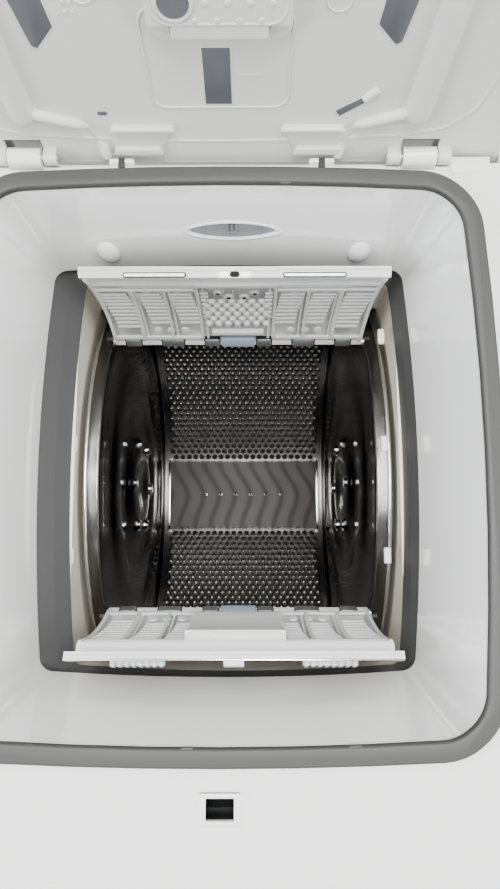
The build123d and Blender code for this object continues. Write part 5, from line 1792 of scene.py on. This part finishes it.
@dataclass
class Lid:
    """The open lid: moulded inner face with its windows, drip lips and detergent dispenser."""

    bench: Bench
    panel_z: float = 0.871
    hinge_y: float = 0.180
    cover_up: float = 0.0985
    cover_rise: float = 0.0098
    web_middle: float = 0.0045
    rim_width: float = 0.0011
    channel_radius: float = 0.0092
    recess_x: float = -0.0207
    recess_up: float = 0.0210

    def opened(self) -> Matrix:
        """The move from the shut lid to the open one.

        Returns:
            The move.
        """
        return Matrix.Translation(LID_PIN) @ Matrix.Rotation(-LID_OPEN, 4, "X") @ Matrix.Translation(-LID_PIN)

    def spot(self, x: float, up: float, rise: float = 0.0) -> Vector:
        """A point on the shut lid's inner face.

        Args:
            x: Its place across.
            up: Its distance from the hinge edge, up the open lid.
            rise: How far it stands off the face.

        Returns:
            The point.
        """
        return Vector((x, self.hinge_y - up, self.panel_z - rise))

    def pad(
        self, outline: list[Pair], rise: float, rounding: float, sunk: float = 0.0006
    ) -> bpy.types.Object:
        """A flat raised area of the inner face.

        Args:
            outline: Its corners, across and up.
            rise: Its height off the face.
            rounding: The edges' rounding.
            sunk: How deep its foot lies in the face.

        Returns:
            The piece, in its shut place.
        """
        points = [self.spot(x, up, -sunk) for x, up in outline]
        return self.bench.plate(points, Vector((0, 0, -(rise + sunk))), rounding, 3)

    def tube(self, line: list[Vector], radius: float, sides: int = 3) -> bpy.types.Object:
        """A rounded rib along a drawn line.

        Args:
            line: The line's points.
            radius: The rib's radius.
            sides: How finely it is rounded.

        Returns:
            The piece.
        """
        piece = self.bench.pen(line, False)
        bpy.ops.object.mode_set(mode="OBJECT")
        self.bench.hold(piece)
        bpy.ops.object.convert(target="CURVE")
        curve = bpy.context.object
        curve.data.bevel_depth = radius
        curve.data.bevel_resolution = sides
        curve.data.use_fill_caps = True
        bpy.ops.object.convert(target="MESH")
        return self.bench.tidy(self.bench.settle(bpy.context.object))

    def rounded(self, low: Pair, high: Pair, corner: float) -> list[Pair]:
        """A rounded rectangle on the inner face.

        Args:
            low: Its lowest corner, across and up.
            high: Its highest corner.
            corner: The corners' radius.

        Returns:
            Its outline.
        """
        outline = []
        left, right = low[0] + corner, high[0] - corner
        foot, head = low[1] + corner, high[1] - corner
        for x, up, start in ((right, foot, -90), (right, head, 0), (left, head, 90), (left, foot, 180)):
            for step in range(7):
                angle = math.radians(start + step * 15)
                outline.append((x + corner * math.cos(angle), up + corner * math.sin(angle)))
        return outline

    def mount(
        self,
        pieces: list[bpy.types.Object],
        name: str,
        look: Finish,
        body: str = "lid",
        angle: float = 40.0,
    ) -> None:
        """Join pieces, open them with the lid and finish them.

        Args:
            pieces: The pieces, in their shut places.
            name: The joined piece's name.
            look: Its finish.
            body: The body it moves with.
            angle: Edges sharper than this stay sharp.
        """
        whole = self.bench.moved(self.bench.join(pieces), self.opened())
        self.bench.finish(whole, name, body, look, angle)

    def build_windows(self) -> None:
        """Slate windows in the inner face, each in a thin moulded rim."""
        panes, rims = [], []
        for outline in WINDOWS:
            panes.append(self.pad(outline, 0.00035, 0.0002))
            middle_x = sum(x for x, _ in outline) / len(outline)
            middle_up = sum(up for _, up in outline) / len(outline)
            wider = []
            for x, up in outline:
                aside = math.copysign(self.rim_width, x - middle_x)
                above = math.copysign(self.rim_width, up - middle_up)
                wider.append((x + aside, up + above))
            rims.append(self.pad(wider, 0.0002, 0.0001))
        panes.append(self.pad(self.rounded((-0.0800, 0.0355), (-0.0735, 0.0385), 0.0014), 0.0004, 0.0002))
        self.mount(panes, "lid_windows", SLATE)
        self.mount(rims, "lid_window_rims", LID_WHITE)

    def build_panel_relief(self) -> None:
        """Rounded field round the window, level line, rib beside the slot and pressed circles."""
        parts = []
        outline = self.rounded((-0.0425, 0.0420), (0.0440, 0.1100), 0.009)
        field_line = [self.spot(x, up, 0.0001) for x, up in outline]
        parts.append(self.tube([*field_line, field_line[0]], 0.0007))
        level = [(0.0130, 0.0655), (0.0268, 0.0655), (0.0268, 0.0667), (0.0130, 0.0667)]
        parts.append(self.pad(level, 0.0005, 0.0002))
        rib = [self.spot(x, up, -0.0006) for x, up in ((0.0925, 0.0475), (0.0965, 0.0520), (0.0998, 0.0555))]
        parts.append(self.tube(rib, 0.0034, 4))
        turns = [math.tau * step / 20 for step in range(21)]
        for x, up in ((0.0680, 0.1140), (-0.0700, 0.1190)):
            ring = [self.spot(x + 0.007 * math.cos(a), up + 0.007 * math.sin(a)) for a in turns]
            parts.append(self.tube(ring, 0.0006))
        for row in range(4):
            for column in range(2):
                spot = self.spot(-0.0815 + column * 0.004, 0.107 + row * 0.006)
                parts.append(self.bench.rod(spot, spot - Vector((0, 0, 0.0006)), 0.0012, 12, 0.0008))
        self.mount(parts, "lid_panel_relief", LID_WHITE)

    def build_drip_lips(self) -> None:
        """Drip lips that lead water back into the well, and the webs between them."""
        lips, webs = [], []
        for side in (-1, 1):
            line = [self.spot(side * x, up, rise) for x, up, rise in LIP_ROUTE]
            lips.append(self.tube(line, 0.0038, 4))
            outline = [(self.web_middle + side * x, up) for x, up in WEB_OUTLINE]
            webs.append(self.pad(outline, 0.0008, 0.0005, 0.002))
            for low, high, near, far in WEB_RIDGES:
                corners = ((near, low), (far, low), (far - 0.002, high), (near + 0.002, high))
                ridge = [(self.web_middle + side * x, up) for x, up in corners]
                webs.append(self.pad(ridge, 0.0042, 0.0012, 0.002))
        self.mount(lips, "lid_drip_lips", LID_WHITE, angle=60)
        self.mount(webs, "lid_drip_webs", LID_WHITE)

    def build_channels(self) -> None:
        """Half-round stiffening channels and the stepped border of the inner face."""
        parts = []
        for side in (-1, 1):
            low = self.spot(side * 0.1285, 0.0385, -0.0006)
            high = self.spot(side * 0.1400, 0.3700, -0.0006)
            parts.append(self.bench.rod(low, high, self.channel_radius, 28))
            self.bench.clear()
            bpy.ops.mesh.primitive_uv_sphere_add(
                segments=28, ring_count=14, radius=self.channel_radius, location=low
            )
            parts.append(self.bench.settle(bpy.context.object))
        line = [self.spot(x, up, -0.0019) for x, up in BORDER]
        line += [self.spot(-x, up, -0.0019) for x, up in reversed(BORDER[:-1])]
        parts.append(self.tube(line, 0.0026, 4))
        self.mount(parts, "lid_channels", LID_WHITE, angle=60)

    def build_dispenser_face(self) -> None:
        """Dots, finger recess drawn as a dark disc of painted shade, and rounded lip on the dispenser's
        cover.
        """
        near = self.cover_up
        depth = self.cover_rise
        dots = []
        for row in range(6):
            for column in range(5):
                x = -0.0100 + column * 0.0120 - (0.006 if row % 2 else 0.0)
                up = near + 0.0110 + row * 0.0100
                if x < -0.011 and row > 0 or x > 0.036:
                    continue
                spot = self.spot(x, up, depth - 0.0006)
                dot = self.bench.rod(spot, spot - Vector((0, 0, 0.0011)), 0.0024, 16, 0.0016)
                dots.append(self.bench.soften(dot, 0.0004, 2))
        outline = self.rounded((-0.0335, near + 0.0090), (0.0400, near + 0.105), 0.010)
        lip = [self.spot(x, up, depth - 0.0008) for x, up in outline]
        dots.append(self.tube([*lip, lip[0]], 0.0013, 3))
        self.mount(dots, "dispenser_cover_dots", LID_WHITE, "dispenser_cover")
        x, up = self.recess_x, near + self.recess_up
        # The bowl of the finger recess is a dark slate disc: painted shade.
        spot = self.spot(x, up, depth - 0.0004)
        recess = [self.bench.rod(spot, spot - Vector((0, 0, 0.0010)), 0.0086, 36, 0.0080)]
        self.mount(recess, "dispenser_finger_recess_shade", SLATE, "dispenser_cover")
        section = ((0.0086, -0.0002), (0.0112, -0.0002), (0.0098, 0.0012), (0.0088, 0.0012))
        ring = [self.spot(x + out, up, depth + rise) for out, rise in section]
        guard = self.bench.spun(ring, True, ALONG_Z, self.spot(x, up, depth), steps=40)
        self.mount([guard], "dispenser_recess_rim", LID_WHITE, "dispenser_cover")

    def build(self) -> None:
        """Build and dress the lid."""
        self.bench.dress(SHELL_WHITE, "lid_outer_shell")
        self.bench.dress(LID_WHITE, "lid_inner_panel", "detergent_dispenser", "dispenser_cover")
        self.bench.dress(GREY, "lid_hook", "lock_bolt")
        self.bench.dress(ZINC, "lid_hinge_pins")
        self.bench.dress(BLACK, "lid_lock")
        self.build_windows()
        self.build_panel_relief()
        self.build_drip_lips()
        self.build_channels()
        self.build_dispenser_face()


# ------------------------------------------------------------------ console and drive
@dataclass
class Console:
    """Control strip: fascia, knob with its scale, keys and display."""

    bench: Bench
    knob: Vector = field(default_factory=lambda: Vector((0.120, 0.262, 0.901)))
    knob_radius: float = 0.019

    def build_knob(self) -> None:
        """Grip flutes, pointer and chrome collar of the programme knob."""
        low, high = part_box("programme_knob")
        centre = Matrix.Translation((self.knob.x, self.knob.y, 0))
        rim = Vector((self.knob.x + self.knob_radius, self.knob.y, 0))
        start = rim + Vector((-0.0006, -0.0007, low.z + 0.003))
        bar = self.bench.block(start, rim + Vector((0.0003, 0.0007, high.z - 0.0022)), 0.0004)
        moves = [centre @ Matrix.Rotation(math.tau * n / 36, 4, "Z") @ centre.inverted() for n in range(36)]
        flutes = self.bench.copies(bar, moves)
        self.bench.finish(flutes, "knob_flutes", "programme_knob", SHELL_WHITE)
        top = Vector((self.knob.x, self.knob.y, high.z))
        start, end = top + Vector((-0.0008, -0.0165, -0.0004)), top + Vector((0.0008, -0.0075, 0.0002))
        pointer = self.bench.block(start, end, 0.0002)
        self.bench.finish(pointer, "knob_pointer", "programme_knob", GREY)
        section = ((0.0200, 0.0), (0.0216, 0.0), (0.0212, 0.0009), (0.0203, 0.0009))
        ring = [self.knob + Vector((out, 0, up)) for out, up in section]
        collar = self.bench.spun(ring, True, ALONG_Z, self.knob, steps=64)
        self.bench.finish(collar, "knob_collar", "cabinet", CHROME)

    def build_scale(self) -> None:
        """Plain marks round the knob and small lamps beside the keys."""
        start = self.knob + Vector((-0.0004, 0.0240, -0.0003))
        mark = self.bench.block(start, self.knob + Vector((0.0004, 0.0275, 0.00015)))
        centre = Matrix.Translation((self.knob.x, self.knob.y, 0))
        moves = [centre @ Matrix.Rotation(math.tau * n / 16, 4, "Z") @ centre.inverted() for n in range(16)]
        self.bench.finish(self.bench.copies(mark, moves), "knob_scale", "cabinet", GREY)
        lamps = []
        for x in (-0.040, -0.008, 0.024):
            for step in range(3):
                here = Vector((x - 0.006 + step * 0.006, 0.276, self.knob.z - 0.0002))
                lamp = self.bench.rod(here, here + Vector((0, 0, 0.0007)), 0.0012, 16)
                lamps.append(self.bench.soften(lamp, 0.0003, 2))
        self.bench.finish(lamps, "console_lamps", "cabinet", SLATE)

    def build(self) -> None:
        """Build and dress the console."""
        self.bench.dress(WHITE, "console_housing", "programme_knob")
        self.bench.dress(SHELL_WHITE, "control_fascia", "spin_speed_key", "temperature_key")
        self.bench.dress(GREY, "start_key")
        self.bench.dress(DISPLAY, "display_window")
        self.bench.dress(BOARD, "control_board")
        self.build_knob()
        self.build_scale()


@dataclass
class Works:
    """Motor, belt, pump, hoses and the connections on the back."""

    bench: Bench
    inlet: Vector = field(default_factory=lambda: Vector((0.120, 0.2882, 0.770)))
    motor: Vector = field(default_factory=lambda: Vector((0, 0.060, 0.120)))

    def build_threads(self) -> None:
        """Thread of the water inlet."""
        rings = []
        section = ((0.0128, -0.0007), (0.0134, 0.0), (0.0128, 0.0007))
        for step in range(6):
            centre = self.inlet + Vector((0, step * 0.0019, 0))
            line = [centre + Vector((out, along, 0)) for out, along in section]
            rings.append(self.bench.spun(line, True, ALONG_Y, centre, steps=40))
        self.bench.finish(rings, "inlet_thread", "cabinet", WHITE)

    def build_motor_fins(self) -> None:
        """Cooling ribs along the motor's shell."""
        fins = []
        for step in range(18):
            angle = math.tau * step / 18
            out = Vector((0, math.cos(angle), math.sin(angle)))
            start = self.motor + out * 0.0602 + Vector((-0.100, 0, 0))
            fins.append(self.bench.rod(start, start + Vector((0.110, 0, 0)), 0.0014, 8))
        self.bench.finish(fins, "motor_ribs", "cabinet", ZINC)

    def build(self) -> None:
        """Build and dress the works."""
        self.bench.dress(BLACK_RUBBER, "belt", "internal_hoses")
        self.bench.dress(ZINC, "motor_and_brackets")
        self.bench.dress(ALUMINIUM, "motor_rotor")
        self.bench.dress(GREY, "drain_pump", "drain_spigot")
        self.bench.dress(BLACK, "pump_impeller")
        self.bench.dress(WHITE, "inlet_valve")
        self.build_threads()
        self.build_motor_fins()


# ------------------------------------------------------------------ studio
@dataclass
class Studio:
    """Plain floor, soft lights and the camera above the open lid."""

    bench: Bench
    camera_place: Point = (0.0197, -0.0796, 1.2796)
    tip: float = 82.48
    pan: float = 0.65
    roll: float = -0.76
    lens: float = 25.6

    def build_floor(self) -> None:
        """A wide pale floor with a soft variation."""
        self.bench.clear()
        bpy.ops.mesh.primitive_plane_add(size=14.0, location=(0, 0, 0))
        floor = bpy.context.object
        floor.name = "floor"
        look = Finish("studio_floor", "", (0.50, 0.50, 0.49), 0.6, Grain.SATIN, per_metre=30, spread=0.02)
        floor.data.materials.append(look.material())

    def light(
        self,
        name: str,
        place: Point,
        aim: Point,
        size: float,
        power: float,
        tone: Point = (1.0, 1.0, 1.0),
    ) -> None:
        """One square soft light.

        Args:
            name: Its name.
            place: Where it stands.
            aim: What it points at.
            size: Its side in metres.
            power: Its power in watts.
            tone: Its colour.
        """
        self.bench.clear()
        turn = (Vector(aim) - Vector(place)).to_track_quat("-Z", "Y").to_euler()
        bpy.ops.object.light_add(type="AREA", location=place, rotation=turn)
        lamp = bpy.context.object
        lamp.name = name
        lamp.data.size = size
        lamp.data.energy = power
        lamp.data.color = tone

    def build_world(self) -> None:
        """Pale surroundings."""
        world = bpy.data.worlds.new("studio_air")
        world.use_nodes = True
        sky = world.node_tree.nodes["Background"]
        sky.inputs["Color"].default_value = (0.99, 1.0, 0.985, 1.0)
        sky.inputs["Strength"].default_value = 0.95
        bpy.context.scene.world = world

    def build_camera(self) -> None:
        """Camera that looks steeply down into the machine."""
        self.bench.clear()
        down, pan, roll = (math.radians(v) for v in (self.tip, self.pan, self.roll))
        ahead = Vector((-math.sin(pan) * math.cos(down), math.cos(pan) * math.cos(down), -math.sin(down)))
        side = Vector((math.cos(pan), math.sin(pan), 0))
        below = ahead.cross(side)
        right = side * math.cos(roll) - below * math.sin(roll)
        under = side * math.sin(roll) + below * math.cos(roll)
        turn = Matrix((right, -under, -ahead)).transposed().to_euler()
        bpy.ops.object.camera_add(location=self.camera_place, rotation=turn)
        eye = bpy.context.object
        eye.name = "camera"
        eye.data.lens = self.lens
        eye.data.sensor_width = 36.0
        eye.data.clip_start = 0.02
        bpy.context.scene.camera = eye

    def build(self) -> None:
        """Set up the studio."""
        self.build_floor()
        self.build_world()
        self.light("ceiling_panel", (0.10, 0.05, 3.1), (0.0, -0.05, 0.7), 1.3, 118.0)
        self.light("back_panel", (-0.5, 1.3, 2.6), (0.0, 0.0, 0.8), 1.3, 24.0)
        self.light("left_fill", (-2.6, -1.0, 1.9), (0.0, 0.0, 0.7), 1.5, 95.0, (0.95, 0.98, 1.0))
        self.light("right_fill", (2.6, -0.9, 1.9), (0.0, 0.0, 0.7), 1.5, 62.0)
        self.build_camera()


def main() -> None:
    """Build every sub-assembly in order."""
    bench = Bench()
    for kind in (Cabinet, Loading, Drum, Flaps, Lid, Console, Works):
        log.info("== %s", kind.__name__)
        kind(bench).build()
    Studio(bench).build()
    log.info("%d pieces modelled", bench.made)


if __name__ == "__main__":
    main()
